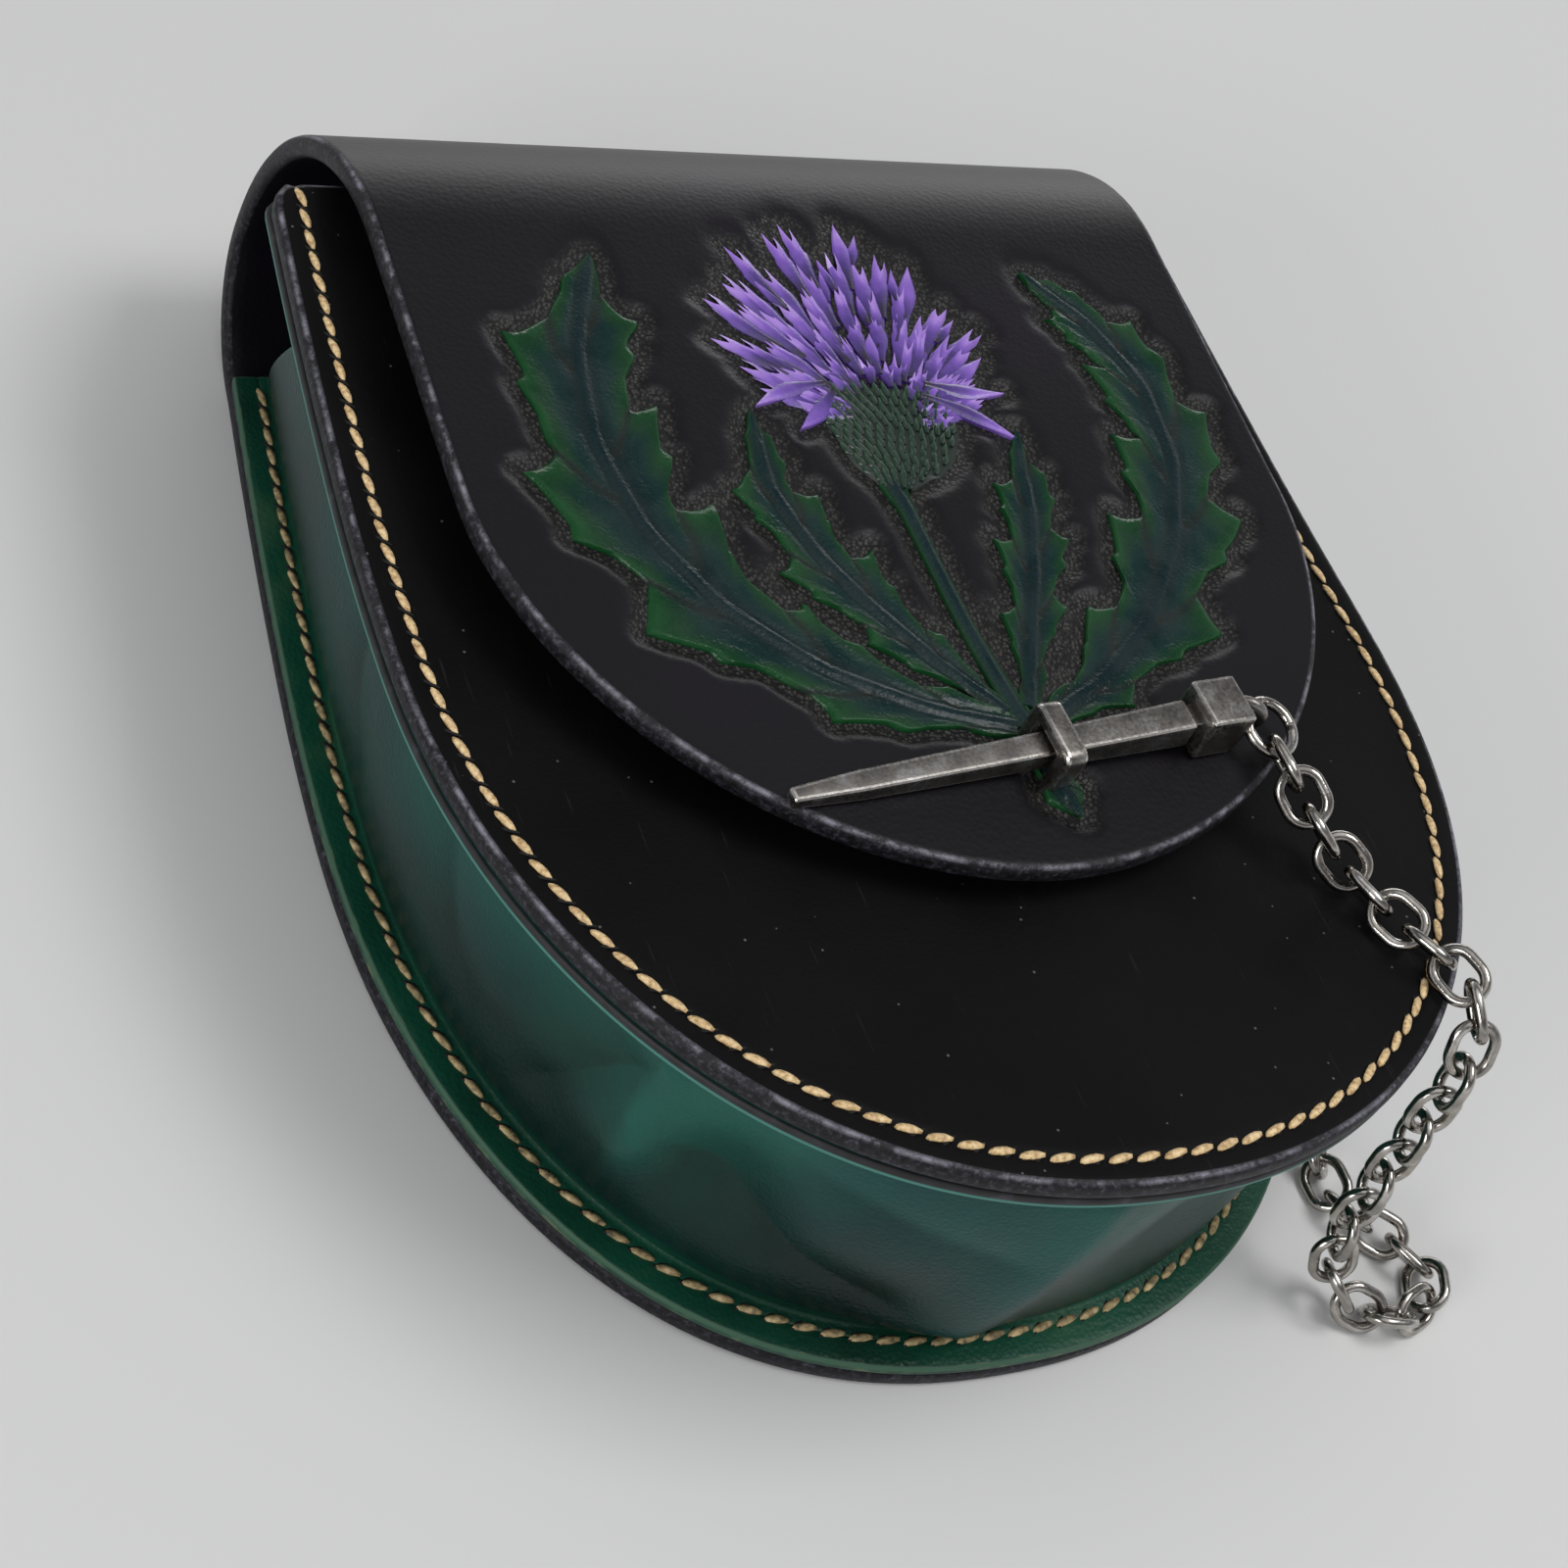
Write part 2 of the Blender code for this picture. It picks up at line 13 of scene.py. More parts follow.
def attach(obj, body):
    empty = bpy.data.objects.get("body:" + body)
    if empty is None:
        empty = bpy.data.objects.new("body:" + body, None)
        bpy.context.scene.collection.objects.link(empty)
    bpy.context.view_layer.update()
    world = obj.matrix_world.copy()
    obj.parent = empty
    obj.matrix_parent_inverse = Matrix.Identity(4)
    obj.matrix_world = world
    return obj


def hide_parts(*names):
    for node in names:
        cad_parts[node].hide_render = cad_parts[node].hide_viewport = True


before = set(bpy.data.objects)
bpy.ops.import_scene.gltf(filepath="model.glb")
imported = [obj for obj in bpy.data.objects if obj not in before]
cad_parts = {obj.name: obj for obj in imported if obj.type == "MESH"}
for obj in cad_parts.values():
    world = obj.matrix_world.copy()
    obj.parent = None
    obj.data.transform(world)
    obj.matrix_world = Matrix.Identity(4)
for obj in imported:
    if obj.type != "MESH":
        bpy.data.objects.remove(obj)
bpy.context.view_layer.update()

# Camera and studio
# The pouch lies on its back on a pale table and is seen from its lower left, from about 45
# degrees above. Soft light comes from a large panel over it, and the shadow falls to the left.


def linear(code):
    """An sRGB hex colour as the linear colour that Blender works with."""
    parts = [int(code[place:place + 2], 16) / 255 for place in (1, 3, 5)]
    parts = [c / 12.92 if c <= 0.04045 else ((c + 0.055) / 1.055) ** 2.4 for c in parts]
    return (*parts, 1.0)


def feed(node, inputs):
    """Set each input to a value or a hex colour, or link it to an output. A node given in
    place of an output stands for the first one that it has in use."""
    for name, value in inputs.items():
        if isinstance(value, bpy.types.Node):
            value = next(socket for socket in value.outputs if socket.enabled)
        if isinstance(value, bpy.types.NodeSocket):
            node.id_data.links.new(value, node.inputs[name])
        elif isinstance(value, str) and value.startswith("#"):
            node.inputs[name].default_value = linear(value)
        else:
            node.inputs[name].default_value = value


def add_node(tree, kind, inputs=None, **settings):
    """Add a node with its options and inputs. A kind with no family is a shader node."""
    family = "" if kind.startswith(("GeometryNode", "FunctionNode")) else "ShaderNode"
    node = tree.nodes.new(family + kind)
    for name, value in settings.items():
        setattr(node, name, value)
    feed(node, inputs or {})
    return node


def new_material(name):
    """A material, its node tree, its shader and the place on the object."""
    made = bpy.data.materials.new(name)
    made.use_nodes = True
    tree = made.node_tree
    place = add_node(tree, "TexCoord").outputs["Object"]
    return made, tree, tree.nodes["Principled BSDF"], place


def ramp(tree, source, stops):
    """A colour ramp fed by a value. A stop is a place with a hex colour or a grey level."""
    node = add_node(tree, "ValToRGB", {"Fac": source})
    stair = node.color_ramp
    while len(stair.elements) < len(stops):
        stair.elements.new(0.5)
    for element, (place, color) in zip(stair.elements, stops):
        element.position = place
        element.color = linear(color) if isinstance(color, str) else (color, color, color, 1.0)
    return node


def mesh_from(shape, name):
    """The mesh of a finished shape, which is freed."""
    mesh = bpy.data.meshes.new(name)
    shape.to_mesh(mesh)
    shape.free()
    return mesh


def keep(name, mesh, *finishes):
    """Add a mesh to the scene as an object at the origin, with its materials in order."""
    made = bpy.data.objects.new(name, mesh)
    for finish in finishes:
        mesh.materials.append(finish)
    bpy.context.scene.collection.objects.link(made)
    return made


LOOK_ROTATION = Matrix(((0.8892, 0.0511, -0.4546), (-0.3021, 0.8132, -0.4975),
                        (0.3442, 0.5797, 0.7385)))
camera_data = bpy.data.cameras.new("camera")
camera_data.lens = 67.485
camera_data.sensor_width = 36.0
camera_data.shift_x = 0.0230
camera_data.shift_y = -0.02165
camera_data.clip_start = 0.01
camera = bpy.data.objects.new("camera", camera_data)
camera.matrix_world = Matrix.Translation((-0.22138, -0.21983, 0.35420)) @ LOOK_ROTATION.to_4x4()
bpy.context.scene.collection.objects.link(camera)
bpy.context.scene.camera = camera

# Matt white paint: hardly any gloss, so the table only carries the soft shadow
table, tree, shader, place = new_material("table_paint_matt_white")
feed(shader, {"Base Color": "#d2d2d1", "Roughness": 0.75})
plane = bmesh.new()
bmesh.ops.create_grid(plane, x_segments=1, y_segments=1, size=1.6)
floor = keep("floor", mesh_from(plane, "floor"), table)

world = bpy.data.worlds.new("studio")
bpy.context.scene.world = world
world.use_nodes = True
# The room is bright low down and overhead, and darker between, so the flap stays deep black
tree = world.node_tree
way = add_node(tree, "TexCoord").outputs["Generated"]
height = add_node(tree, "SeparateXYZ", {"Vector": way}).outputs["Z"]
room = ramp(tree, height, ((0.0, "#ffffff"), (0.18, "#d6d7d8"), (0.38, "#a3a4a7"),
                           (0.60, "#75767a"), (0.72, "#717276"), (0.86, "#dededf"),
                           (1.0, "#ffffff")))
feed(tree.nodes["Background"], {"Color": room})

# Each light: name, place, point it faces, width, height, power in watts
LIGHTS = (
    ("high_panel", (0.42, -0.15, 1.00), (0.0, 0.0, 0.0), 0.5, 0.4, 4.6),
    ("back_panel", (0.55, 1.15, 0.20), (0.0, 0.08, 0.05), 1.0, 0.24, 2.2),
    ("left_panel", (-0.85, -0.45, 0.42), (0.0, 0.0, 0.02), 0.4, 0.3, 3.6),
)
for name, place, aim, width, height, power in LIGHTS:
    lamp = bpy.data.lights.new(name, "AREA")
    lamp.shape = "RECTANGLE"
    lamp.size = width
    lamp.size_y = height
    lamp.energy = power
    lamp_object = bpy.data.objects.new(name, lamp)
    turned = (Vector(aim) - Vector(place)).to_track_quat("-Z", "Y")
    lamp_object.matrix_world = Matrix.Translation(place) @ turned.to_matrix().to_4x4()
    bpy.context.scene.collection.objects.link(lamp_object)
bpy.context.scene.view_settings.view_transform = "Standard"

# Tooled thistle
# A traditional thistle carved into the flap before assembly: the outline is cut with a swivel
# knife, the ground beside it is bevelled down and stippled, and the plant is dyed by brush.

TOOL_DEPTH = 0.00085
CARVING_DEPTH = 0.0012
FLAP_FACE = 0.0640
MM = 0.001
# Leaves: midrib points in mm from base to tip, half widths in mm, lobes, forward sweep
LEAVES = (
    (((0.5, -22.5), (-12, -18.8), (-26, -11.5), (-38, 0), (-45.5, 14), (-48.5, 30), (-46, 48),
      (-38.5, 67)), (1.8, 7.0, 10.5, 12.5, 13.5, 13.0, 10.5, 0.05), 5, 0.7),
    (((0, -20), (-8, -10.5), (-14.5, -1), (-20, 9), (-23.5, 21), (-22, 36)),
     (1.5, 5.6, 8.2, 7.6, 5.4, 0.05), 4, 0.8),
    (((4, -19.5), (9, -8), (14.5, 4), (18.8, 16), (22.6, 32)), (1.5, 5.0, 6.8, 5.8, 0.05), 4, 0.8),
    (((7.5, -21), (18, -15.5), (32, -4), (43, 11), (49.5, 26), (50.5, 42), (45.5, 55),
      (37, 65.5)), (1.8, 7.5, 11.0, 11.5, 10.5, 9.5, 6.5, 0.05), 6, 0.7),
    (((2.6, -29.5), (3.4, -33.5), (4.6, -38.5)), (2.0, 3.4, 0.05), 1, 0.4),
)
STEM = ((2.4, -22.5), (0.9, -15), (-0.6, -5), (-1.6, 7), (-2.2, 17), (-3.0, 22))
STEM_WIDTHS = (2.0, 1.7, 1.5, 1.4, 1.5, 2.2)
BULB = ((-2.2, 21.0), (-1.4, 25), (0.4, 30), (1.6, 35), (2.0, 40.5))
BULB_WIDTHS = (2.4, 7.2, 10.4, 11.6, 10.8)
# Florets: the fan's angle from straight up in degrees and its reach in mm, from left to right
FAN = ((-66, 17), (-57, 29), (-36, 38.5), (-22, 43), (-6, 45.5), (12, 44), (22, 38.5), (32, 34.5),
       (46, 31), (60, 22), (73, 17))
FAN_ROOT = (1.8, 30.0)
FAN_LEFT, FAN_TURN = -64, 134
# Layers of florets, from the back: share of the fan's reach, number, length and width in mm
LAYERS = ((1.0, 14, 14.0, 3.2), (0.87, 14, 13.5, 3.2), (0.74, 13, 12.5, 3.1),
          (0.61, 12, 11.5, 3.0), (0.49, 10, 10.0, 2.8), (0.39, 8, 8.5, 2.6))
# How far each of a petal's seven columns is cut back at its tip, as shares of the notch
PETAL_COLUMNS = np.array([-1, -0.64, -0.32, 0, 0.32, 0.64, 1])
NOTCHES = ((0.8, 0, 0.7, 1, 0.7, 0, 0.8), (0.9, 0.2, 0.8, 0, 0.8, 0.3, 0.9),
           (0.8, 0, 0.6, 1, 0.8, 0.4, 1), (1, 0.3, 0.8, 1, 0.6, 0, 0.8))
BULB_STEPS, BULB_COLUMNS, SCALE_ROWS = 40, 25, 14
# The lowest florets droop over the bulb: base and tip in mm, and bend
DROOPING = (((9.0, 39.0), (22.5, 30.0), 0.9), ((10.0, 41.5), (23.5, 39.5), -0.6),
            ((-7.5, 41.5), (-20.5, 37.0), -0.9), ((-6.5, 40.0), (-14.5, 32.5), 0.6))


def smooth(share):
    share = np.clip(share, 0.0, 1.0)
    return share * share * (3 - 2 * share)


def spread(points, widths, count):
    """A smooth line through given points in mm, with a width and a direction at each step."""
    points = np.asarray(points, float)
    knots = np.arange(len(points))
    fine = np.linspace(0, len(points) - 1, count)
    line = np.stack([np.interp(fine, knots, c) for c in points.T], axis=1)
    width = np.interp(fine, knots, widths)
    for _ in range(max(count // 12, 1)):
        line[1:-1] = (line[:-2] + 2 * line[1:-1] + line[2:]) / 4
        width[1:-1] = (width[:-2] + 2 * width[1:-1] + width[2:]) / 4
    ahead = np.gradient(line, axis=0)
    ahead /= np.linalg.norm(ahead, axis=1, keepdims=True)
    return line, width, ahead


def strip_solid(store, top, share, paint):
    """Add a closed strip, given its upper face in metres, to the carving's lists."""
    rows, columns = top.shape[:2]
    start = len(store["points"])
    low = top[:, [0, -1]].copy()
    low[..., 2] = FLAP_FACE - CARVING_DEPTH
    store["points"].extend(map(tuple, top.reshape(-1, 3)))
    store["points"].extend(map(tuple, low.reshape(-1, 3)))
    values = np.concatenate([share.reshape(-1, 2), np.ones((rows * 2, 2))])
    store["share"].extend(map(tuple, values))
    under = start + rows * columns
    faces = []
    for i in range(rows - 1):
        row, after = start + i * columns, start + (i + 1) * columns
        for j in range(columns - 1):
            faces.append((row + j, row + j + 1, after + j + 1, after + j))
        left, right = under + 2 * i, under + 2 * i + 1
        faces.append((row, after, left + 2, left))
        faces.append((after + columns - 1, row + columns - 1, right, right + 2))
        faces.append((left, left + 2, right + 2, right))
    faces.append((*range(start, start + columns)[::-1], under, under + 1))
    end = start + (rows - 1) * columns
    faces.append((*range(end, end + columns), under + 2 * rows - 1, under + 2 * rows - 2))
    store["faces"].extend(faces)
    store["paint"].extend([paint] * len(faces))


def lobe_reach(phase):
    """How far a lobe reaches: it swells to a spine and drops back, with a lesser spine."""
    phase = phase % 1.0
    swell = 0.54 + 0.48 * (phase / 0.74) ** 2.2
    fall = 1.02 - 0.48 * (np.maximum(phase - 0.74, 0) / 0.26) ** 0.6
    lesser = 0.17 * np.maximum(0, 1 - np.abs(phase - 0.38) / 0.11)
    return np.where(phase < 0.74, swell, fall) + lesser


def leaf(store, points, widths, lobes, sweep, seed):
    """A lobed leaf along its midrib, or a stem with no lobes, hollowed between its veins."""
    count = 30 + int(26 * lobes)
    line, width, ahead = spread(points, widths, count)
    aside = np.stack([-ahead[:, 1], ahead[:, 0]], axis=1)
    t = np.linspace(0, 1, count)
    shares = np.array([0, 0.05, 0.10, 0.17, 0.26, 0.36, 0.46, 0.56, 0.67, 0.78, 0.85, 0.90, 0.95,
                       1.0])
    columns = np.concatenate([-shares[:0:-1], shares])
    chance = random.Random(seed)
    grid = np.zeros((count, len(columns), 3))
    share = np.zeros((count, len(columns), 2))
    offsets = {-1: chance.random() * 0.4, 1: 0.45 + chance.random() * 0.3}
    for j, s in enumerate(columns):
        side = -1 if s < 0 else 1
        phase = t * lobes + offsets[side]
        fade = smooth(np.minimum(t / 0.08, (1 - t) / 0.06))
        reach = width * (1 - fade + fade * lobe_reach(phase)) if lobes > 1 else width
        out = np.abs(s) * reach
        place = line + aside * (side * out)[:, None] + ahead * (out * sweep * np.abs(s) * fade
                                                               )[:, None]
        rib = np.exp(-(out / 0.55) ** 2)
        groove = np.exp(-((out - 1.35) / 0.55) ** 2)
        vein_phase = (phase + 0.26 - 0.30 * np.abs(s)) % 1.0
        vein = np.exp(-(np.minimum(vein_phase, 1 - vein_phase) / 0.05) ** 2) * (np.abs(s) > 0.1)
        dome = 1 - (np.abs(s) * 1.25 - 0.62) ** 2
        scoop = smooth(1 - np.abs(np.abs(s) - 0.45) / 0.35) * smooth(
            1 - np.abs(phase % 1.0 - 0.55) / 0.42) * np.minimum(width / 9, 1)
        crest = np.exp(-((np.abs(s) - 0.90) / 0.06) ** 2)
        height = (-0.30 + 0.26 * dome + 0.14 * rib - 0.28 * groove - 0.22 * vein * fade
                  - 0.34 * scoop * fade + 0.10 * crest)
        height -= 0.62 * np.clip((np.abs(s) - 0.93) / 0.07, 0, 1) ** 2
        height = np.minimum(height, -0.03)
        grid[:, j, :2] = place * MM
        grid[:, j, 2] = FLAP_FACE + height * MM
        share[:, j] = np.stack([np.full(count, np.abs(s)), groove * 0.4 + vein * fade], axis=1)
    strip_solid(store, grid, share, 0)


def petal(store, base, tip, width, level, paint, peak, curve=0.0, fork=0.0,
          notch=NOTCHES[0]):
    """A narrow blade, highest along its middle, pointed or with a notched tip."""
    base, tip = np.asarray(base, float), np.asarray(tip, float)
    t = np.linspace(0, 1, 8)
    ahead = tip - base
    length = np.hypot(*ahead)
    ahead /= length
    aside = np.array([-ahead[1], ahead[0]])
    half = np.where(t < peak, 0.45 + 0.55 * smooth(t / peak), ((1 - t) / (1 - peak)) ** 0.75)
    half = np.maximum(half, (0.80 if fork else 0.0) * smooth(t / 0.5))
    half = np.maximum(half * width / 2, 0.03)
    line = base + np.outer(t * length, ahead) + np.outer(curve * np.sin(t * math.pi), aside)
    grid = np.zeros((len(t), len(PETAL_COLUMNS), 3))
    share = np.zeros((len(t), len(PETAL_COLUMNS), 2))
    for j, s in enumerate(PETAL_COLUMNS):
        back = fork * notch[j] * smooth((t - 0.45) / 0.55)
        grid[:, j, :2] = (line + np.outer(half * s, aside) - np.outer(back, ahead)) * MM
        rise = level - 0.30 * s * s + 0.10 * (1 - t) * (1 - s * s)
        grid[:, j, 2] = FLAP_FACE + np.minimum(rise, -0.02) * MM
        share[:, j] = np.stack([t, np.full(len(t), abs(s))], axis=1)
    strip_solid(store, grid, share, paint)


def fan_reach(angle):
    return float(np.interp(angle, [a for a, _ in FAN], [r for _, r in FAN]))


def thistle():
    """The whole carving: points, faces, paint numbers and two painting shares."""
    store = {"points": [], "faces": [], "paint": [], "share": []}
    for number, (points, widths, lobes, sweep) in enumerate(LEAVES):
        leaf(store, points, widths, lobes, sweep, number)
    leaf(store, STEM, STEM_WIDTHS, 0, 0.0, 9)
    line, width, ahead = spread(BULB, BULB_WIDTHS, BULB_STEPS)
    across_bulb = np.linspace(-1, 1, BULB_COLUMNS)
    grid = np.zeros((BULB_STEPS, BULB_COLUMNS, 3))
    aside = np.stack([ahead[:, 1], -ahead[:, 0]], axis=1)
    for j, s in enumerate(across_bulb):
        grid[:, j, :2] = (line + aside * (width * s)[:, None]) * MM
        grid[:, j, 2] = FLAP_FACE + (-0.30 - 0.45 * s ** 4) * MM
    share = np.stack(np.meshgrid(np.linspace(0, 1, BULB_STEPS), np.abs(across_bulb),
                                 indexing="ij"), axis=-1)
    strip_solid(store, grid, share, 2)
    chance = random.Random(5)
    for row in range(SCALE_ROWS - 1, -1, -1):
        index = int(row / SCALE_ROWS * (BULB_STEPS - 1))
        count = 3 + int(width[index] * 0.95)
        for column in range(count):
            s = (column + 0.5 + 0.5 * (row % 2)) / count * 2 - 1
            if abs(s) > 0.98:
                continue
            root = line[index] + aside[index] * width[index] * s * 0.97
            lean_out = s * 0.55 + chance.uniform(-0.08, 0.08)
            length = 3.1 * (1 - 0.2 * abs(s))
            point = root + np.array([math.sin(lean_out), math.cos(lean_out)]) * length
            petal(store, root, point, 1.45, -0.05 - 0.35 * s ** 4, 3, 0.35)
    root = np.array(FAN_ROOT)
    for depth, (share_out, count, length, width_mm) in enumerate(LAYERS):
        for k in range(count):
            spot = (k + 0.5 + 0.5 * (depth % 2)) / (count + 0.5)
            angle = FAN_LEFT + FAN_TURN * spot + chance.uniform(-2.5, 2.5)
            reach = fan_reach(angle) * share_out * chance.uniform(0.93, 1.03)
            start = max(reach - length * min(1.0, reach / 26), 6.5)
            turn = math.radians(angle)
            inner_turn = turn * 0.93
            tip = root + np.array([math.sin(turn), math.cos(turn)]) * reach
            base = root + np.array([math.sin(inner_turn), math.cos(inner_turn)]) * start
            bend = chance.uniform(-0.6, 0.6)
            fork = chance.uniform(2.4, 4.2) if chance.random() < 0.85 else 0.0
            petal(store, base, tip, width_mm, -0.42 + 0.065 * depth, 1, 0.58, bend, fork,
                  chance.choice(NOTCHES))
            if chance.random() < 0.25:
                aslant = turn + chance.choice((-1, 1)) * 0.075
                tip = root + np.array([math.sin(aslant), math.cos(aslant)]) * (reach - 1.8)
                middle = base * 0.55 + tip * 0.45
                petal(store, middle, tip, width_mm * 0.62, -0.44 + 0.065 * depth, 1, 0.4)
    for base, tip, bend in DROOPING:
        petal(store, base, tip, 3.0, -0.03, 1, 0.5, bend)
    return store


def mark(mesh, name, values):
    """Store a number or a vector on a mesh's first points, and nought on the others."""
    values = np.asarray(values, float)
    kind, field = ("FLOAT", "value") if values.ndim == 1 else ("FLOAT_VECTOR", "vector")
    full = np.zeros((len(mesh.vertices), *values.shape[1:]))
    full[:len(values)] = values
    mesh.attributes.new(name, kind, "POINT").data.foreach_set(field, full.ravel())


carving = thistle()
design = kdtree.KDTree(len(carving["points"]))
for number, point in enumerate(carving["points"]):
    design.insert((point[0], point[1], 0.0), number)
design.balance()


def painted(name, rough, bump=0.05, glaze=0.35):
    """A brushed dye under a clear finish: glossy on the high places, with fine grain."""
    finish, tree, shader, place = new_material(name)
    share = add_node(tree, "Attribute", attribute_name="share").outputs["Vector"]
    parts = add_node(tree, "SeparateXYZ", {"Vector": share}).outputs
    clouds = add_node(tree, "TexNoise", {"Vector": place, "Scale": 160.0, "Detail": 4.0})
    grit = add_node(tree, "TexNoise", {"Vector": place, "Scale": 1600.0, "Detail": 2.0})
    lumps = add_node(tree, "Bump", {"Height": grit, "Strength": bump, "Distance": 0.0004})
    feed(shader, {"Roughness": rough, "Coat Weight": glaze, "Coat Roughness": 0.12,
                  "Normal": lumps})
    return finish, tree, shader, parts, clouds


# Spirit dye brushed on green over teal, darker in the carved veins. The glaze pooled unevenly,
# so the leaves mirror the light in patches.
leaf_dye, tree, shader, parts, clouds = painted("leaf_dye_green_and_teal_glazed", 0.27, 0.35, 0.08)
varied = add_node(tree, "Math", {0: clouds, 1: 0.35, 2: -0.17}, operation="MULTIPLY_ADD")
edge_share = add_node(tree, "Math", {0: parts["X"], 1: varied}, operation="ADD")
color = ramp(tree, edge_share, ((0.15, "#051f23"), (0.5, "#072926"), (0.78, "#0b351b"),
                                (0.97, "#114420")))
veins = add_node(tree, "Mix", {"Factor": parts["Y"], "A": color, "B": "#19221f"},
                 data_type="RGBA")
pooled = add_node(tree, "MapRange", {"Value": clouds, "From Min": 0.35, "From Max": 0.65,
                                     "To Min": 0.20, "To Max": 0.50})
feed(shader, {"Base Color": veins, "Roughness": pooled, "Specular IOR Level": 0.20})

# Violet dye, wiped thin towards the tips, so each floret runs from near black to lilac. The near
# black at the base is painted shade, for the shade in the gaps between the overlapping florets
floret_dye, tree, shader, parts, clouds = painted("floret_dye_violet_and_painted_base_shade", 0.40, 0.20)
uneven = add_node(tree, "Math", {0: clouds, 1: 0.9, 2: -0.45}, operation="MULTIPLY_ADD")
tone = add_node(tree, "Math", {0: parts["X"], 1: uneven}, operation="ADD")
color = ramp(tree, tone, ((0.05, "#1b0f30"), (0.36, "#43297c"), (0.68, "#7a54b8"),
                          (1.0, "#a682d6")))
edges = add_node(tree, "MapRange", {"Value": parts["Y"], "From Min": 0.65, "To Max": 0.6})
rim = add_node(tree, "Mix", {"Factor": edges, "A": color, "B": "#43287a"}, data_type="RGBA")
feed(shader, {"Base Color": rim})

# The bulb's ground is nearly black, and shows only between the scales
bulb_dye, tree, shader, parts, clouds = painted("bulb_dye_dark_green", 0.4)
feed(shader, {"Base Color": "#0b1d14"})

# Each scale fades to a pale tip, where the dye was rubbed off
scale_dye, tree, shader, parts, clouds = painted("bulb_scale_dye_green", 0.30, 0.3)
feed(shader, {"Base Color": ramp(tree, parts["X"], ((0.0, "#081d15"), (0.6, "#113723"),
                                                    (1.0, "#44624a")))})

carving_mesh = bpy.data.meshes.new("thistle_carving")
carving_mesh.from_pydata(carving["points"], [], carving["faces"])
mark(carving_mesh, "share", [(x, y, 0.0) for x, y in carving["share"]])
carving_mesh.polygons.foreach_set("material_index", carving["paint"])
shaped = bmesh.new()
shaped.from_mesh(carving_mesh)
bmesh.ops.recalc_face_normals(shaped, faces=shaped.faces)
shaped.to_mesh(carving_mesh)
shaped.free()
carving_mesh.shade_smooth()
carving_mesh.set_sharp_from_angle(angle=math.radians(50))
carving_piece = keep("thistle_carving", carving_mesh, leaf_dye, floret_dye, bulb_dye, scale_dye)
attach(carving_piece, "root")

# Back, fold and flap
# One piece of 3.5 mm vegetable-tanned cowhide, cut to an outline, dyed black with a purple cast
# and rolled over at the top. Its raw edges are bevelled, dyed and rubbed smooth.

BODY_LEATHER = 0.0035
BACK_WIDTH = 0.1578
BACK_TOP_WIDTH = 0.1450
BOTTOM_LENGTH = 0.0930
BACK_ROUNDNESS = 2.25
LEAN = 0.0022
LEAN_START = -0.060
LEAN_LENGTH = 0.090
FOLD_BACK_RADIUS = 0.0220
FOLD_FRONT_RADIUS = 0.0420
FOLD_START = 0.0930
FLAP_WIDTH = 0.1388
FLAP_LENGTH = 0.1200
FLAP_ROUND = 0.0677
FLAP_ROUNDNESS = 1.90
FLAP_Z = FOLD_BACK_RADIUS + FOLD_FRONT_RADIUS
FLAP_START = FOLD_START + FOLD_BACK_RADIUS - FOLD_FRONT_RADIUS
FLAP_TIP = FLAP_START - FLAP_LENGTH
BACK = (BACK_WIDTH / 2, BOTTOM_LENGTH, BACK_ROUNDNESS, BACK_TOP_WIDTH / 2, FOLD_START)


def lean(y):
    return -LEAN * smooth((y - LEAN_START) / LEAN_LENGTH)


def outline_at(outline, along, inset=0.0, top=None):
    """Right half of an outline, as the part has it: along is 0 at the bottom, 1 at the widest
    line and 2 at the top."""
    half, bottom, power, top_half, full_top = outline
    turn = np.minimum(along, 1.0) * math.pi / 2
    x = (half - inset) * np.sin(turn) ** (2 / power)
    y = -(bottom - inset) * np.maximum(np.cos(turn), 1e-9) ** (2 / power)
    up = np.maximum(along - 1, 0.0) * (full_top if top is None else top)
    side = half + (top_half - half) * (up / full_top) ** 1.5 - inset
    return np.where(along <= 1, x, side), np.where(along <= 1, y, up)


def lengths_along(points):
    """The length of a polyline up to each of its points."""
    steps = np.linalg.norm(np.diff(points, axis=0), axis=1)
    return np.concatenate(([0.0], np.cumsum(steps)))


def even(points, count, shares=None):
    """Points along a polyline at even steps, or at given shares of its length."""
    length = lengths_along(points)
    goals = np.linspace(0, 1, count) if shares is None else shares
    return np.stack([np.interp(goals * length[-1], length, c) for c in points.T], axis=1)


def mirrored_patch(low, side, high, columns, shares):
    """A grid that fills an outline whose left half mirrors the right. The curves given run
    from low's middle to its right end, up the right side, and to high's middle."""
    flip = np.array([-1.0, 1.0])
    low = even(np.concatenate([low[::-1] * flip, low[1:]]), columns)
    high = even(np.concatenate([high * flip, high[::-1][1:]]), columns)
    v = shares[:, None, None]
    u = np.linspace(0, 1, columns)[None, :, None]
    sides = (1 - u) * (side * flip)[:, None] + u * side[:, None]
    ends = (1 - v) * low[None] + v * high[None]
    corners = ((1 - u) * (1 - v) * low[0] + u * (1 - v) * low[-1]
               + (1 - u) * v * high[0] + u * v * high[-1])
    return sides + ends - corners


def grid_normals(grid):
    """Unit normals of a grid of points, along rows x columns."""
    down = np.gradient(grid, axis=0)
    over = np.gradient(grid, axis=1)
    normal = np.cross(over, down)
    return normal / np.maximum(np.linalg.norm(normal, axis=2, keepdims=True), 1e-12)


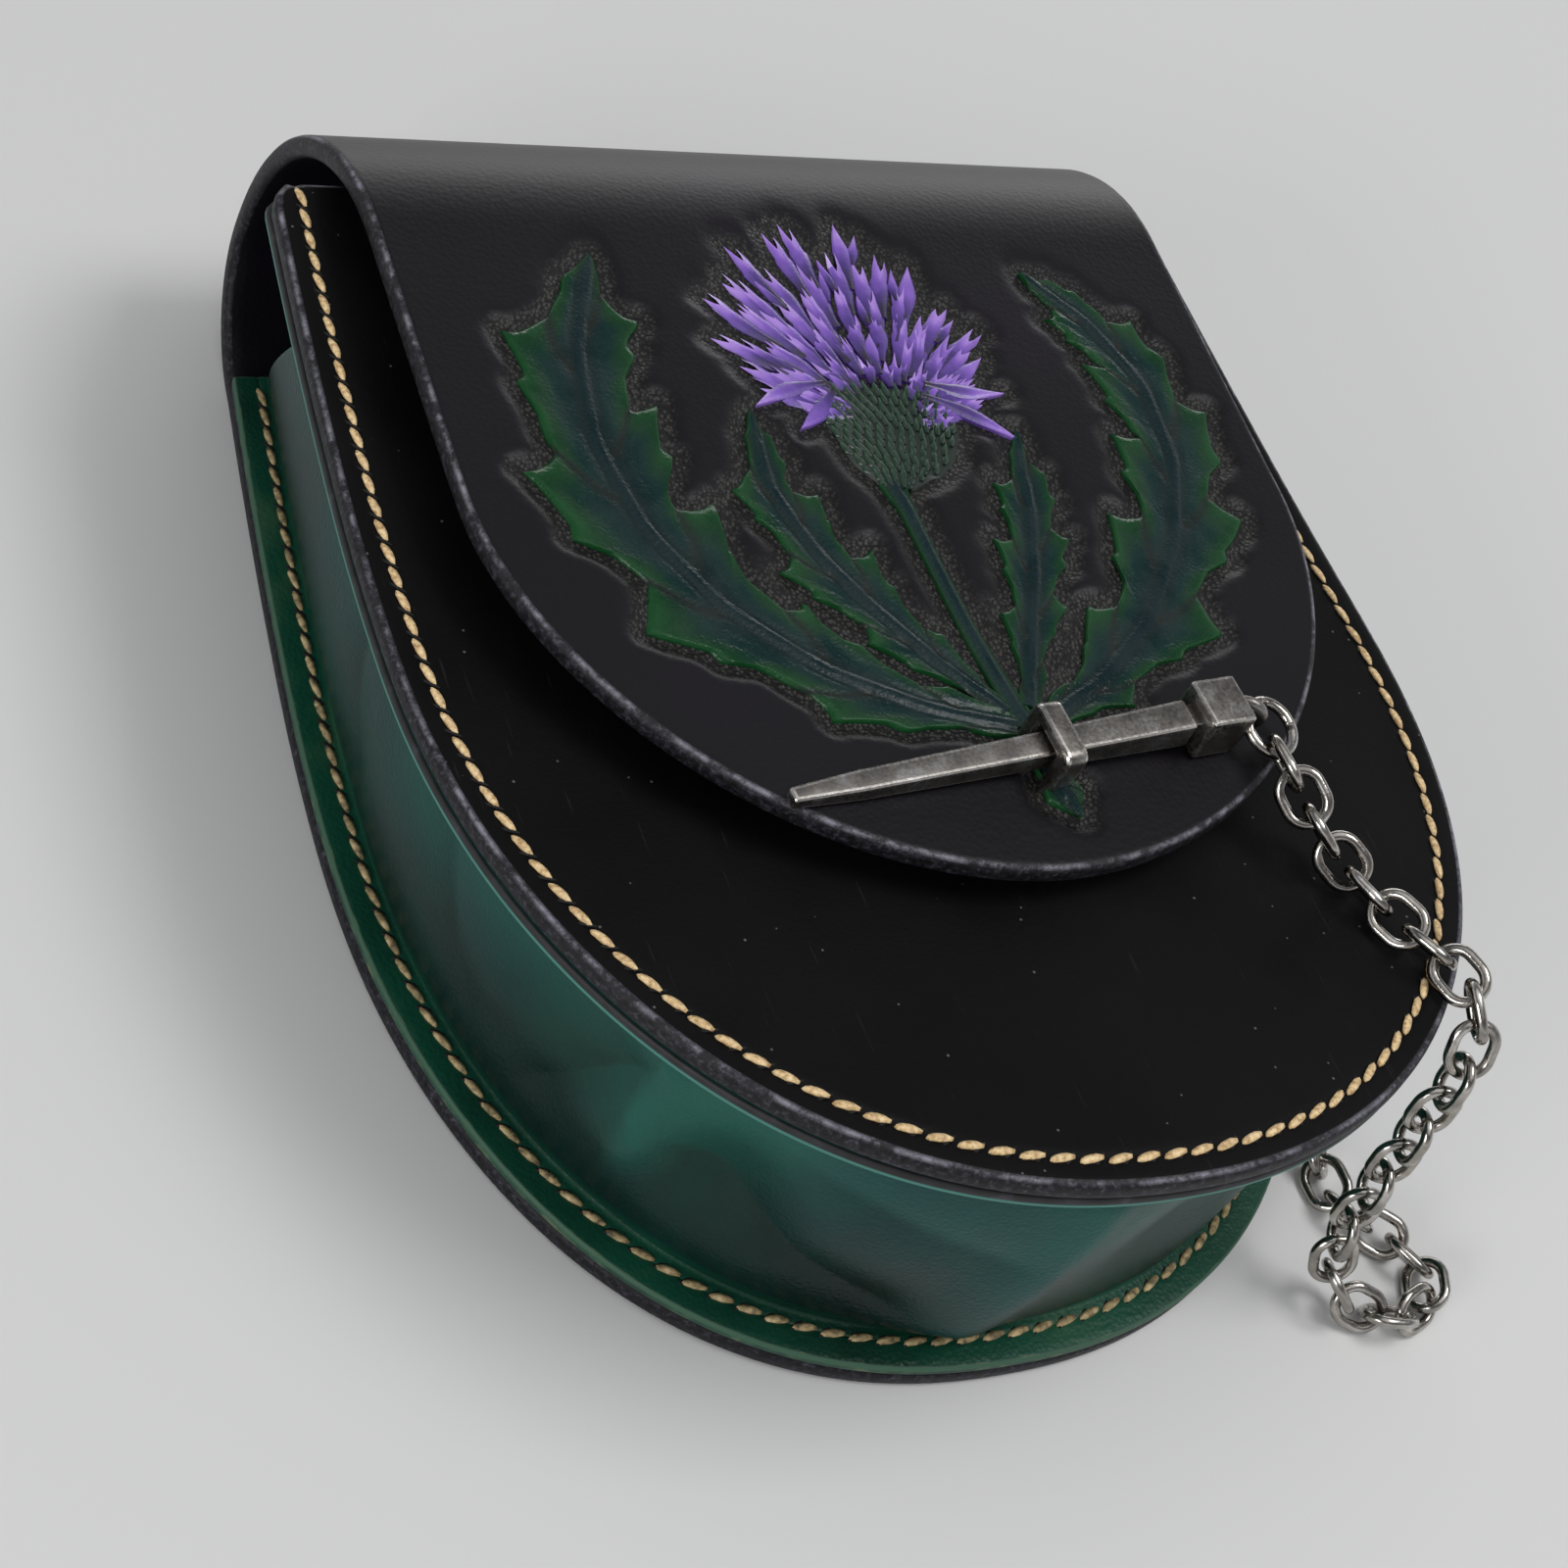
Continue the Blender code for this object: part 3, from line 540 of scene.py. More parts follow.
def leather_slab(name, grid, normal, thickness, edge, skip=4, worn_rings=1):
    """A slab of leather with rounded edges. The grid is its fine face, and normal points out
    of that face. The other face takes every few points of the grid. The attribute wear marks
    the bevel beside the fine face."""
    rows, columns = grid.shape[:2]
    ring = ([(0, j) for j in range(columns)] + [(i, columns - 1) for i in range(1, rows)]
            + [(rows - 1, j) for j in range(columns - 2, -1, -1)]
            + [(i, 0) for i in range(rows - 2, 0, -1)])
    around = np.array(ring)
    rim = grid[around[:, 0], around[:, 1]]
    up = normal[around[:, 0], around[:, 1]]
    ahead = np.roll(rim, -1, axis=0) - np.roll(rim, 1, axis=0)
    out = np.cross(ahead, up)
    out /= np.maximum(np.linalg.norm(out, axis=1, keepdims=True), 1e-12)
    inner = np.mean(grid.reshape(-1, 3), axis=0)
    if np.mean(np.sum(out * (rim - inner), axis=1)) < 0:
        out = -out
    body = bmesh.new()
    top = [[body.verts.new(point) for point in row] for row in grid]
    back_rows = list(range(0, rows - 1, skip)) + [rows - 1]
    back_columns = list(range(0, columns - 1, skip)) + [columns - 1]
    loops = [[top[i][j] for i, j in ring]]
    for step in (30, 60, 90):
        turn = math.radians(step)
        place = rim - up * edge * (1 - math.cos(turn)) + out * edge * math.sin(turn)
        loops.append([body.verts.new(point) for point in place])
    for step in (90, 60, 30):
        turn = math.radians(step)
        place = rim - up * (thickness - edge * (1 - math.cos(turn))) + out * edge * math.sin(turn)
        loops.append([body.verts.new(point) for point in place])
    last = [body.verts.new(point) for point in rim - up * thickness]
    loops.append(last)
    lookup = dict(zip(ring, last))
    under = {}
    for i in back_rows:
        for j in back_columns:
            under[i, j] = lookup.get((i, j)) or body.verts.new(
                grid[i, j] - normal[i, j] * thickness)
    faces = []
    for i in range(rows - 1):
        for j in range(columns - 1):
            faces.append(body.faces.new((top[i][j], top[i][j + 1], top[i + 1][j + 1],
                                         top[i + 1][j])))
    for low, high in zip(loops, loops[1:]):
        for k in range(len(ring)):
            after = (k + 1) % len(ring)
            face = body.faces.new((low[k], high[k], high[after], low[after]))
            face.material_index = 1
    for i, i_next in zip(back_rows, back_rows[1:]):
        for j, j_next in zip(back_columns, back_columns[1:]):
            corners = ([(a, j) for a in range(i, i_next)] if j == 0 else [(i, j)])
            corners += ([(i_next, b) for b in range(j, j_next)] if i_next == rows - 1
                        else [(i_next, j)])
            corners += ([(a, j_next) for a in range(i_next, i, -1)] if j_next == columns - 1
                        else [(i_next, j_next)])
            corners += ([(i, b) for b in range(j_next, j, -1)] if i == 0 else [(i, j_next)])
            face = body.faces.new([lookup.get(c) or under[c] for c in corners])
            face.material_index = 2
    bmesh.ops.recalc_face_normals(body, faces=body.faces)
    mesh = mesh_from(body, name)
    mesh.shade_smooth()
    mark(mesh, "wear", [0.0] * (rows * columns) + [1.0] * (worn_rings * len(ring)))
    return mesh


def body_profile(s):
    """Flap, fold and back in side view: y, z and the turn of the face, at a distance from
    the flap's tip."""
    s = np.asarray(s, float)
    front = FOLD_FRONT_RADIUS * math.pi / 2
    back = FOLD_BACK_RADIUS * math.pi / 2
    turn = np.where(s < FLAP_LENGTH + front, (s - FLAP_LENGTH) / FOLD_FRONT_RADIUS,
                    math.pi / 2 + (s - FLAP_LENGTH - front) / FOLD_BACK_RADIUS)
    turn = np.clip(turn, 0, math.pi)
    radius = np.where(turn < math.pi / 2, FOLD_FRONT_RADIUS, FOLD_BACK_RADIUS)
    centre = np.where(turn < math.pi / 2, FLAP_START, FOLD_START)
    y = centre + radius * np.sin(turn)
    z = FOLD_BACK_RADIUS + radius * np.cos(turn)
    y = np.where(s < FLAP_LENGTH, FLAP_TIP + s, y)
    y = np.where(s > FLAP_LENGTH + front + back,
                 FOLD_START - (s - FLAP_LENGTH - front - back), y)
    return y, z, turn


EDGE_ROUND = 0.0011
FOLD_LENGTH = (FOLD_FRONT_RADIUS + FOLD_BACK_RADIUS) * math.pi / 2


def body_outline(inset):
    """Right side of the flat leather, from the flap's tip over the fold to the back's bottom."""
    turn = np.linspace(0, math.pi / 2, 160)
    x = (FLAP_WIDTH / 2 - inset) * np.sin(turn) ** (2 / FLAP_ROUNDNESS)
    drop = (FLAP_ROUND - inset) * np.cos(turn) ** (2 / FLAP_ROUNDNESS)
    flap = np.stack([x, FLAP_ROUND - drop], axis=1)
    fold_s = np.linspace(FLAP_LENGTH, FLAP_LENGTH + FOLD_LENGTH, 60)
    angle = body_profile(fold_s)[2] / math.pi
    half = (FLAP_WIDTH + (BACK_TOP_WIDTH - FLAP_WIDTH) * angle) / 2 - inset
    fold = np.stack([half, fold_s], axis=1)
    along = np.linspace(2, 0, 320)
    x, y = outline_at(BACK, along, inset)
    start = FLAP_LENGTH + FOLD_LENGTH + FOLD_START
    back = np.stack([x, start - y], axis=1)
    return np.concatenate([flap, fold, back])


def split_at(curve, share):
    """Cut a curve in two at a share of its length."""
    length = lengths_along(curve)
    place = np.searchsorted(length, share * length[-1])
    point = even(curve, 1, np.array([share]))
    return np.concatenate([curve[:place], point]), np.concatenate([point, curve[place:]])


def body_grid():
    right = body_outline(EDGE_ROUND)
    tip, rest = split_at(right, 0.105)
    middle, bottom = split_at(rest, 0.78)
    steps = np.concatenate([np.linspace(0, 0.27, 150, endpoint=False),
                            np.linspace(0.27, 0.55, 60, endpoint=False),
                            np.linspace(0.55, 1, 140)])
    return mirrored_patch(tip, even(middle, 0, steps), bottom, 172, steps)


def lay_body(flat):
    y, z, turn = body_profile(flat[..., 1])
    x = flat[..., 0] + lean(y)
    return np.stack([x, y, z], axis=-1), np.stack([0 * x, np.sin(turn), np.cos(turn)], axis=-1)


# Drum-dyed cowhide with a waxed grain side: a deep black that turns purple where light grazes.
# The matting tool's dots are some 0.4 mm apart, and are drawn 0.7 mm apart so that they show.
flap_leather, tree, shader, place = new_material("flap_leather_dyed_black_purple")
clouds = add_node(tree, "TexNoise", {"Vector": place, "Scale": 22.0, "Detail": 4.0})
color = ramp(tree, clouds, ((0.3, "#060408"), (0.55, "#0a070e"), (0.8, "#110b18")))
matted = add_node(tree, "Attribute", attribute_name="stipple").outputs["Fac"]
dots = add_node(tree, "TexVoronoi", {"Vector": place, "Scale": 1500.0})
# The stippled ground is grey, and lighter at the raised centre of each dot: a painted highlight on
# the dots
dot_grey_and_highlight = ramp(tree, dots, ((0.08, "#454441"), (0.50, "#171616")))
ground = add_node(tree, "Mix", {"Factor": matted, "A": color, "B": dot_grey_and_highlight}, data_type="RGBA")
grain = add_node(tree, "TexVoronoi", {"Vector": place, "Scale": 1100.0})
relief = add_node(tree, "Bump", {"Height": grain, "Strength": 0.16, "Distance": 0.0002})
pressed_dots = add_node(tree, "Math", {0: dots, 1: matted}, operation="MULTIPLY")
stamped = add_node(tree, "Bump", {"Height": pressed_dots, "Normal": relief, "Strength": 0.6,
                                  "Distance": 0.0003}, invert=True)
feed(shader, {"Base Color": ground, "Roughness": 0.42, "Specular IOR Level": 0.21,
              "Normal": stamped})

# The cut edge of the cowhide, dyed and burnished: speckled grey where the fibres came through,
# and rubbed pale in streaks along the bevel by wear
edge_leather, tree, shader, place = new_material("leather_edge_bevelled_and_rubbed")
specks = add_node(tree, "TexNoise", {"Vector": place, "Scale": 1100.0, "Detail": 5.0,
                                     "Roughness": 0.7})
color = ramp(tree, specks, ((0.36, "#08080a"), (0.52, "#19191e"), (0.64, "#37363f"),
                            (0.76, "#5a5962")))
wear = add_node(tree, "Attribute", attribute_name="wear").outputs["Fac"]
streaks = add_node(tree, "TexNoise", {"Vector": place, "Scale": 210.0, "Detail": 8.0,
                                      "Roughness": 0.75})
streaky = ramp(tree, streaks, ((0.46, 0.05), (0.62, 0.9)))
rubbed = add_node(tree, "Math", {0: streaky, 1: wear}, operation="MULTIPLY")
bright = add_node(tree, "Mix", {"Factor": rubbed, "A": color, "B": "#8f8d98"}, data_type="RGBA")
fibres = add_node(tree, "Bump", {"Height": specks, "Strength": 0.4, "Distance": 0.0003})
feed(shader, {"Base Color": bright, "Roughness": 0.5, "Specular IOR Level": 0.22,
              "Normal": fibres})

flat = body_grid()
surface, outward = lay_body(flat)


def carved_depth(x, y):
    """How far the ground is pressed down beside the carving, and where it is stippled."""
    away = design.find((x, y, 0.0))[2] / MM
    away += 0.5 * noise.noise(Vector((x * 260, y * 260, 0.0)))
    return float(smooth((3.5 - away) / 2.2)), float(smooth((3.3 - away) / 1.8))


pressed = np.zeros(flat.shape[:2])
stippled = np.zeros(flat.shape[:2])
for i, j in zip(*np.nonzero((flat[..., 1] < 0.145) & (np.abs(flat[..., 0]) < 0.068))):
    pressed[i, j], stippled[i, j] = carved_depth(*surface[i, j, :2])
for _ in range(3):
    pressed[1:-1, 1:-1] = (4 * pressed[1:-1, 1:-1] + pressed[:-2, 1:-1] + pressed[2:, 1:-1]
                           + pressed[1:-1, :-2] + pressed[1:-1, 2:]) / 8
surface = surface - outward * (pressed * TOOL_DEPTH)[..., None]
body_mesh = leather_slab("flap_fold_back", surface, outward, BODY_LEATHER, EDGE_ROUND)
mark(body_mesh, "stipple", stippled.ravel())
body_piece = keep("flap_fold_back", body_mesh, flap_leather, edge_leather, flap_leather)
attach(body_piece, "root")
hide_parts("back_and_flap")

# Gusset
# A long strip of 2 mm goatskin, dyed teal green and glazed. It is folded into a U with both
# flanges turned outward, and sewn to the back and to the front panel by hand.

GUSSET_LEATHER = 0.0020
PANEL_LEATHER = 0.0034
GAP = 0.0003
FRONT_WIDTH = 0.1646
FRONT_TOP_WIDTH = 0.1570
FRONT_TOP = 0.0895
FRONT_ROUNDNESS = 2.15
CORNER_RADIUS = 0.0030
FRONT_HEIGHT_BOTTOM = 0.0605
FRONT_HEIGHT_TOP = 0.0546
FRONT_SAG = 0.0036
FLANGE = 0.0065
BEND_RADIUS = 0.0030
BELLY = 0.0030
GUSSET_TOP = 0.0940
WALL_TOP_CUT = 0.0300
FLANGE_TOP = 0.0888
FRONT = (FRONT_WIDTH / 2, BOTTOM_LENGTH, FRONT_ROUNDNESS, FRONT_TOP_WIDTH / 2, FRONT_TOP)
# Dents: place along the outline, height share, reach along, reach up, depth in metres
DENTS = (
    (-0.42, 0.52, 0.14, 0.42, 0.0042),
    (-0.66, 0.70, 0.16, 0.40, 0.0024),
    (0.16, 0.48, 0.20, 0.45, 0.0040),
    (0.55, 0.50, 0.22, 0.45, 0.0026),
)
# Creases: from and to (place along, height share), falloff before and after it in metres, depth,
# and the painted light and shade before and after it, lighter above nought and darker below, on
# the two faces of the fold
CREASES = (
    (-0.02, 0.90, -0.07, 0.10, 0.0160, 0.0060, -0.0032, 0.28, -0.50),
    (-0.53, 0.95, -0.545, 0.50, 0.0100, 0.0030, -0.0028, -0.42, 0.32),
    (-0.66, 0.34, -0.575, 0.66, 0.0060, 0.0080, 0.0034, 0.00, -0.36),
    (-0.44, 0.46, -0.20, 0.24, 0.0080, 0.0080, 0.0028, -0.40, 0.12),
    (-0.30, 0.72, -0.12, 0.60, 0.0070, 0.0050, 0.0010, -0.20, 0.10),
    (-0.88, 0.75, -0.80, 0.35, 0.0070, 0.0060, 0.0012, -0.20, 0.10),
    (-1.25, 0.70, -1.12, 0.30, 0.0080, 0.0080, 0.0010, -0.15, 0.10),
    (0.30, 0.85, 0.38, 0.20, 0.0070, 0.0050, 0.0018, -0.35, 0.20),
    (0.62, 0.30, 0.78, 0.72, 0.0060, 0.0070, 0.0016, 0.20, -0.30),
    (1.10, 0.75, 1.22, 0.30, 0.0080, 0.0070, 0.0010, -0.20, 0.10),
)
WALL_RUN = 0.105
WALL_RISE = 0.048
# The painted light and shade of a crease count as this much relief. Relief lightens the dye on
# ridges and high places, as rubbed wear, and darkens it in crease lines and dents, as painted
# shade, by its sharpness and by its height
PAINTED_SHADING_RELIEF = 0.0065
RUB_AND_SHADE_BY_SHARPNESS = 200
RUB_AND_SHADE_BY_HEIGHT = 65
STITCH_INSET = 0.0042
# The groove that the thread presses in: distance from the seam, and depth
SEAM_GROOVE = ((-0.0005, 0.00008), (-0.0002, 0.00024), (0.0, 0.0003), (0.0002, 0.00024),
               (0.0005, 0.00008), (0.0009, 0.0))


def crease_depth(along, share):
    """Folds pressed into the wall: a sharp line with a slope of its own on each side, and painted
    light and shade on the two faces of each fold.
    """
    depth, painted_shading = np.zeros_like(along), np.zeros_like(along)
    for a0, h0, a1, h1, before, after, deep, painted_shading_before, painted_shading_after in CREASES:
        run = np.array([(a1 - a0) * WALL_RUN, (h1 - h0) * WALL_RISE])
        length = np.hypot(*run)
        ahead = run / length
        x, y = (along - a0) * WALL_RUN, (share - h0) * WALL_RISE
        travel = x * ahead[0] + y * ahead[1]
        across_line = y * ahead[0] - x * ahead[1]
        beyond = np.maximum(np.maximum(-travel, travel - length), 0.0)
        reach = np.where(across_line > 0, after, before)
        apart = np.sqrt(across_line ** 2 + 0.0007 ** 2) - 0.0007
        depth += deep * np.exp(-apart / reach - (beyond / 0.008) ** 2)
        painted_shading += (np.where(across_line > 0, painted_shading_after, painted_shading_before)
                  * smooth(np.abs(across_line) / 0.0012)
                  * np.exp(-(across_line / 0.013) ** 2 - (beyond / 0.010) ** 2))
    return depth, painted_shading


def panel_height(y):
    share = (y + BOTTOM_LENGTH) / (FRONT_TOP + BOTTOM_LENGTH)
    rise = FRONT_HEIGHT_BOTTOM + (FRONT_HEIGHT_TOP - FRONT_HEIGHT_BOTTOM) * share
    return rise - 4 * FRONT_SAG * share * (1 - share)


def gusset_rows():
    """Rows of the strip's inner face: share from back to front, inset, rise, top end."""
    wall = FLANGE + GUSSET_LEATHER
    rows = [(0.0, wall_share * (wall - BEND_RADIUS), 0.0, GUSSET_TOP)
            for wall_share in (0.08, 0.3, 0.5, 0.6)]
    rows += [(0.0, STITCH_INSET + aside, -groove, GUSSET_TOP) for aside, groove in SEAM_GROOVE]
    rows.append((0.0, wall - BEND_RADIUS, 0.0, GUSSET_TOP))
    for turn in range(15, 91, 15):
        angle = math.radians(turn)
        rise = BEND_RADIUS * (1 - math.cos(angle))
        rows.append((0.0, wall - BEND_RADIUS * (1 - math.sin(angle)), rise, GUSSET_TOP - rise))
    for share in np.linspace(0.05, 0.95, 40):
        belly = BELLY * math.sin(math.pi * share)
        rows.append((share, wall - belly, share, GUSSET_TOP - WALL_TOP_CUT * share))
    wall_top = GUSSET_TOP - WALL_TOP_CUT
    for turn in range(90, 14, -15):
        angle = math.radians(turn)
        top = wall_top + (FLANGE_TOP - wall_top) * (90 - turn) / 120
        rows.append((1.0, wall - BEND_RADIUS * (1 - math.sin(angle)),
                     -BEND_RADIUS * (1 - math.cos(angle)), top))
    for step, wall_share in enumerate((1.0, 0.8, 0.6, 0.4, 0.2, 0.08)):
        top = wall_top + (FLANGE_TOP - wall_top) * (0.75 + 0.05 * step)
        rows.append((1.0, wall_share * (wall - BEND_RADIUS), 0.0, top))
    return rows


def dent_depth(along, share):
    """How far the dents press the wall in, at a place along it and a share of its height."""
    depth = 0.0 * along
    for dent_along, height, reach, reach_up, deep in DENTS:
        away = np.hypot((along - dent_along) / reach, (share - height) / reach_up)
        depth = depth + deep * smooth(1 - away)
    return depth


def wall_outline(share):
    return tuple(low + (high - low) * share for low, high in zip(BACK, FRONT))


def wall_height(y, share):
    low, high = BODY_LEATHER + GAP, panel_height(y) - PANEL_LEATHER - GAP
    return low + (high - low) * share


def gusset_grid():
    wide = np.linspace(0, 2, 400)
    travel = lengths_along(np.stack(outline_at(BACK, wide), axis=1))
    half = np.interp(np.linspace(0, travel[-1], 210), travel, wide)
    along = np.concatenate([-half[:0:-1], half])
    grid, relief = [], []
    for share, inset, rise, top in gusset_rows():
        depth = np.zeros_like(along)
        fade, painted_shading = 0.0, 0.0
        if 0 < share < 1:
            fade = float(smooth(min(share, 1 - share) / 0.16))
            folds, painted_shading = crease_depth(along, share)
            depth = dent_depth(along, share) + fade * folds
        relief.append(depth - PAINTED_SHADING_RELIEF * fade * painted_shading)
        x, y = outline_at(wall_outline(share), np.abs(along), inset + depth, top)
        if share == 1.0:
            past = np.clip(y - FRONT_TOP + CORNER_RADIUS, 0, CORNER_RADIUS)
            x = np.minimum(x, FRONT_TOP_WIDTH / 2 - CORNER_RADIUS - 0.0002
                           + np.sqrt(CORNER_RADIUS ** 2 - past ** 2) + 0.1 * (past == 0))
        x = x * np.sign(along)
        z = wall_height(y, share) + rise * (1 if share in (0.0, 1.0) else 0)
        grid.append(np.stack([x + lean(y), y, z], axis=1))
    return np.array(grid), np.array(relief)


# Goatskin, dyed by hand and glazed: a deep dye, near black, and a thin teal one, mixed in patches
# and lighter towards the top of the wall, with painted shade in the folds, creases and dents and
# painted light on the lit face of each fold. Its pebbled grain of 0.4 mm is drawn at 0.7 mm so
# that it shows, with wrinkles 2 mm apart.
gusset_leather, tree, shader, place = new_material("gusset_goatskin_dyed_teal_glazed_painted_shading")
clouds = add_node(tree, "TexNoise", {"Vector": place, "Scale": 24.0, "Detail": 5.0})
deep_dye = ramp(tree, clouds, ((0.30, "#041715"), (0.5, "#062420"), (0.7, "#0b342c")))
thin_dye = ramp(tree, clouds, ((0.30, "#073434"), (0.5, "#0c4440"), (0.7, "#185347")))
height = add_node(tree, "SeparateXYZ", {"Vector": place}).outputs["Z"]
rise = add_node(tree, "MapRange", {"Value": height, "From Min": 0.010, "From Max": 0.048},
                interpolation_type="SMOOTHSTEP")
patchy = add_node(tree, "TexNoise", {"Vector": place, "Scale": 14.0, "Detail": 3.0})
uneven = add_node(tree, "Math", {0: patchy, 1: 1.3, 2: -0.65}, operation="MULTIPLY_ADD")
# The rubbed attribute holds rubbed wear on the ridges, and painted shade and light in the dents
# and along the creases
crease_wear_and_painted_shading = add_node(tree, "Attribute", attribute_name="rubbed").outputs["Fac"]
thin_dye_and_painted_shading = add_node(tree, "Math", {0: rise, 1: uneven}, operation="ADD")
thin_dye_and_painted_shading = add_node(tree, "Math", {0: thin_dye_and_painted_shading, 1: crease_wear_and_painted_shading}, operation="ADD", use_clamp=True)
wall_dye = add_node(tree, "Mix", {"Factor": thin_dye_and_painted_shading, "A": deep_dye, "B": thin_dye},
                    data_type="RGBA")
flange_dye = ramp(tree, clouds, ((0.32, "#0a2e22"), (0.55, "#0f4634"), (0.7, "#3a5f42")))
on_wall = add_node(tree, "MapRange", {"Value": height, "From Min": 0.0062, "From Max": 0.0090})
dyed = add_node(tree, "Mix", {"Factor": on_wall, "A": flange_dye, "B": wall_dye},
                data_type="RGBA")
glaze = add_node(tree, "MapRange", {"Value": clouds, "From Min": 0.3, "From Max": 0.7,
                                    "To Min": 0.30, "To Max": 0.46})
pebbles = add_node(tree, "TexVoronoi", {"Vector": place, "Scale": 1400.0})
wrinkles = add_node(tree, "TexNoise", {"Vector": place, "Scale": 420.0, "Detail": 4.0})
grain_height = add_node(tree, "Math", {0: pebbles, 1: wrinkles}, operation="ADD")
grain = add_node(tree, "Bump", {"Height": grain_height, "Strength": 0.22, "Distance": 0.0003})
feed(shader, {"Base Color": dyed, "Roughness": glaze, "Specular IOR Level": 0.22,
              "Normal": grain})

# The goatskin's cut edges: rubbed pale green at the back, and nearly black at the front, where the
# panel's edge dye ran over. A lighter line follows the corner beside the fine face: the teal of
# the bare bevel, painted lighter still as a highlight along that corner.
worn_edge, tree, shader, place = new_material("goatskin_edge_worn_pale_green")
patches = add_node(tree, "TexNoise", {"Vector": place, "Scale": 300.0, "Detail": 4.0})
worn = ramp(tree, patches, ((0.38, "#0d3227"), (0.55, "#1c4834"), (0.72, "#5c6a4a")))
dark = ramp(tree, patches, ((0.35, "#09090b"), (0.6, "#1b1b1f"), (0.75, "#393840")))
height = add_node(tree, "SeparateXYZ", {"Vector": place}).outputs["Z"]
at_front = add_node(tree, "Math", {0: height, 1: 0.03}, operation="GREATER_THAN")
color = add_node(tree, "Mix", {"Factor": at_front, "A": worn, "B": dark}, data_type="RGBA")
wear = add_node(tree, "Attribute", attribute_name="wear").outputs["Fac"]
bevel_line_and_highlight = add_node(tree, "MapRange", {"Value": wear, "From Min": 0.55, "From Max": 0.75})
line = ramp(tree, at_front, ((0.0, "#2f5540"), (1.0, "#3c776d")))
color = add_node(tree, "Mix", {"Factor": bevel_line_and_highlight, "A": color, "B": line}, data_type="RGBA")
feed(shader, {"Base Color": color, "Roughness": 0.6})

inner, relief = gusset_grid()
outward = grid_normals(inner)
if np.mean(outward[:, :, 2][6]) < 0:
    outward = -outward
outer = inner + outward * GUSSET_LEATHER
gusset_mesh = leather_slab("gusset", outer, outward, GUSSET_LEATHER, 0.0005, skip=2,
                           worn_rings=3)
# The rubbed attribute: lighter on ridges and high places as rubbed wear, darker in crease lines
# and dents as painted shade, with the painted light and shade of each fold's faces
blurred = relief.copy()
for _ in range(14):
    blurred[1:-1, 1:-1] = (blurred[:-2, 1:-1] + blurred[2:, 1:-1] + blurred[1:-1, :-2]
                           + blurred[1:-1, 2:]) / 4
rubbed = np.clip((blurred - relief) * RUB_AND_SHADE_BY_SHARPNESS - relief * RUB_AND_SHADE_BY_HEIGHT, -0.7, 0.55)
mark(gusset_mesh, "rubbed", rubbed.ravel())
gusset_piece = keep("gusset_strip", gusset_mesh, gusset_leather, worn_edge, gusset_leather)
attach(gusset_piece, "root")
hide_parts("gusset")

# Front panel
# The same cowhide as the back, 3.4 mm thick and dyed plain black. It lies on the gusset's
# front flange and is sewn through it. It sinks a little in the middle.

GROOVE_DEPTH = 0.0003
GROOVE_REACH = 0.0013


def front_outline(inset):
    x, y = outline_at(FRONT, np.linspace(0, 1.985, 320), inset)
    keep_points = y < FRONT_TOP - CORNER_RADIUS - inset
    turn = np.linspace(0, math.pi / 2, 10)
    radius = CORNER_RADIUS
    corner_x = FRONT_TOP_WIDTH / 2 - inset - radius * (1 - np.cos(turn))
    corner_y = FRONT_TOP - inset - radius * (1 - np.sin(turn))
    side = np.stack([x[keep_points], y[keep_points]], axis=1)
    corner = np.stack([corner_x, corner_y], axis=1)
    return side, corner, np.array([[0.0, FRONT_TOP - inset]])


def front_grid(inset):
    side, corner, top = front_outline(inset)
    bottom, middle = split_at(side, 0.28)
    middle = np.concatenate([middle, corner[:6]])
    top = np.concatenate([corner[5:], top])
    rows = 190
    return mirrored_patch(bottom, even(middle, rows), top, 170, np.linspace(0, 1, rows))


# Cowhide with a dull waxed finish: plain black with fine hair-cell grain, dust specks some
# 4 mm apart, duller rubbed places, and hairline scratches, some 12 mm long, that run with the
# flap's swing
panel_leather, tree, shader, place = new_material("panel_leather_dyed_black")
clouds = add_node(tree, "TexNoise", {"Vector": place, "Scale": 30.0, "Detail": 4.0})
color = ramp(tree, clouds, ((0.3, "#080809"), (0.8, "#0f0f10")))
specks = add_node(tree, "TexVoronoi", {"Vector": place, "Scale": 230.0})
dust = ramp(tree, specks, ((0.035, "#7c7c7c"), (0.055, "#000000")))
swing = add_node(tree, "Mapping", {"Vector": place, "Rotation": (0.0, 0.0, math.radians(28)),
                                   "Scale": (1500.0, 80.0, 1.0)})
hairlines = add_node(tree, "TexNoise", {"Vector": swing, "Scale": 1.0, "Detail": 2.0})
scratched = ramp(tree, hairlines, ((0.68, "#000000"), (0.86, "#303033")))
marks = add_node(tree, "Mix", {"Factor": 1.0, "A": dust, "B": scratched}, data_type="RGBA",
                 blend_type="ADD")
marked = add_node(tree, "Mix", {"Factor": 0.5, "A": color, "B": marks}, data_type="RGBA",
                  blend_type="ADD")
rubbed = add_node(tree, "TexNoise", {"Vector": place, "Scale": 55.0, "Detail": 6.0})
dull = add_node(tree, "MapRange", {"Value": rubbed, "From Min": 0.3, "From Max": 0.7,
                                   "To Min": 0.40, "To Max": 0.62})
cells = add_node(tree, "TexNoise", {"Vector": place, "Scale": 1500.0, "Detail": 3.0})
grain = add_node(tree, "Bump", {"Height": cells, "Strength": 0.25, "Distance": 0.0002})
feed(shader, {"Base Color": marked, "Roughness": dull, "Specular IOR Level": 0.08,
              "Normal": grain})

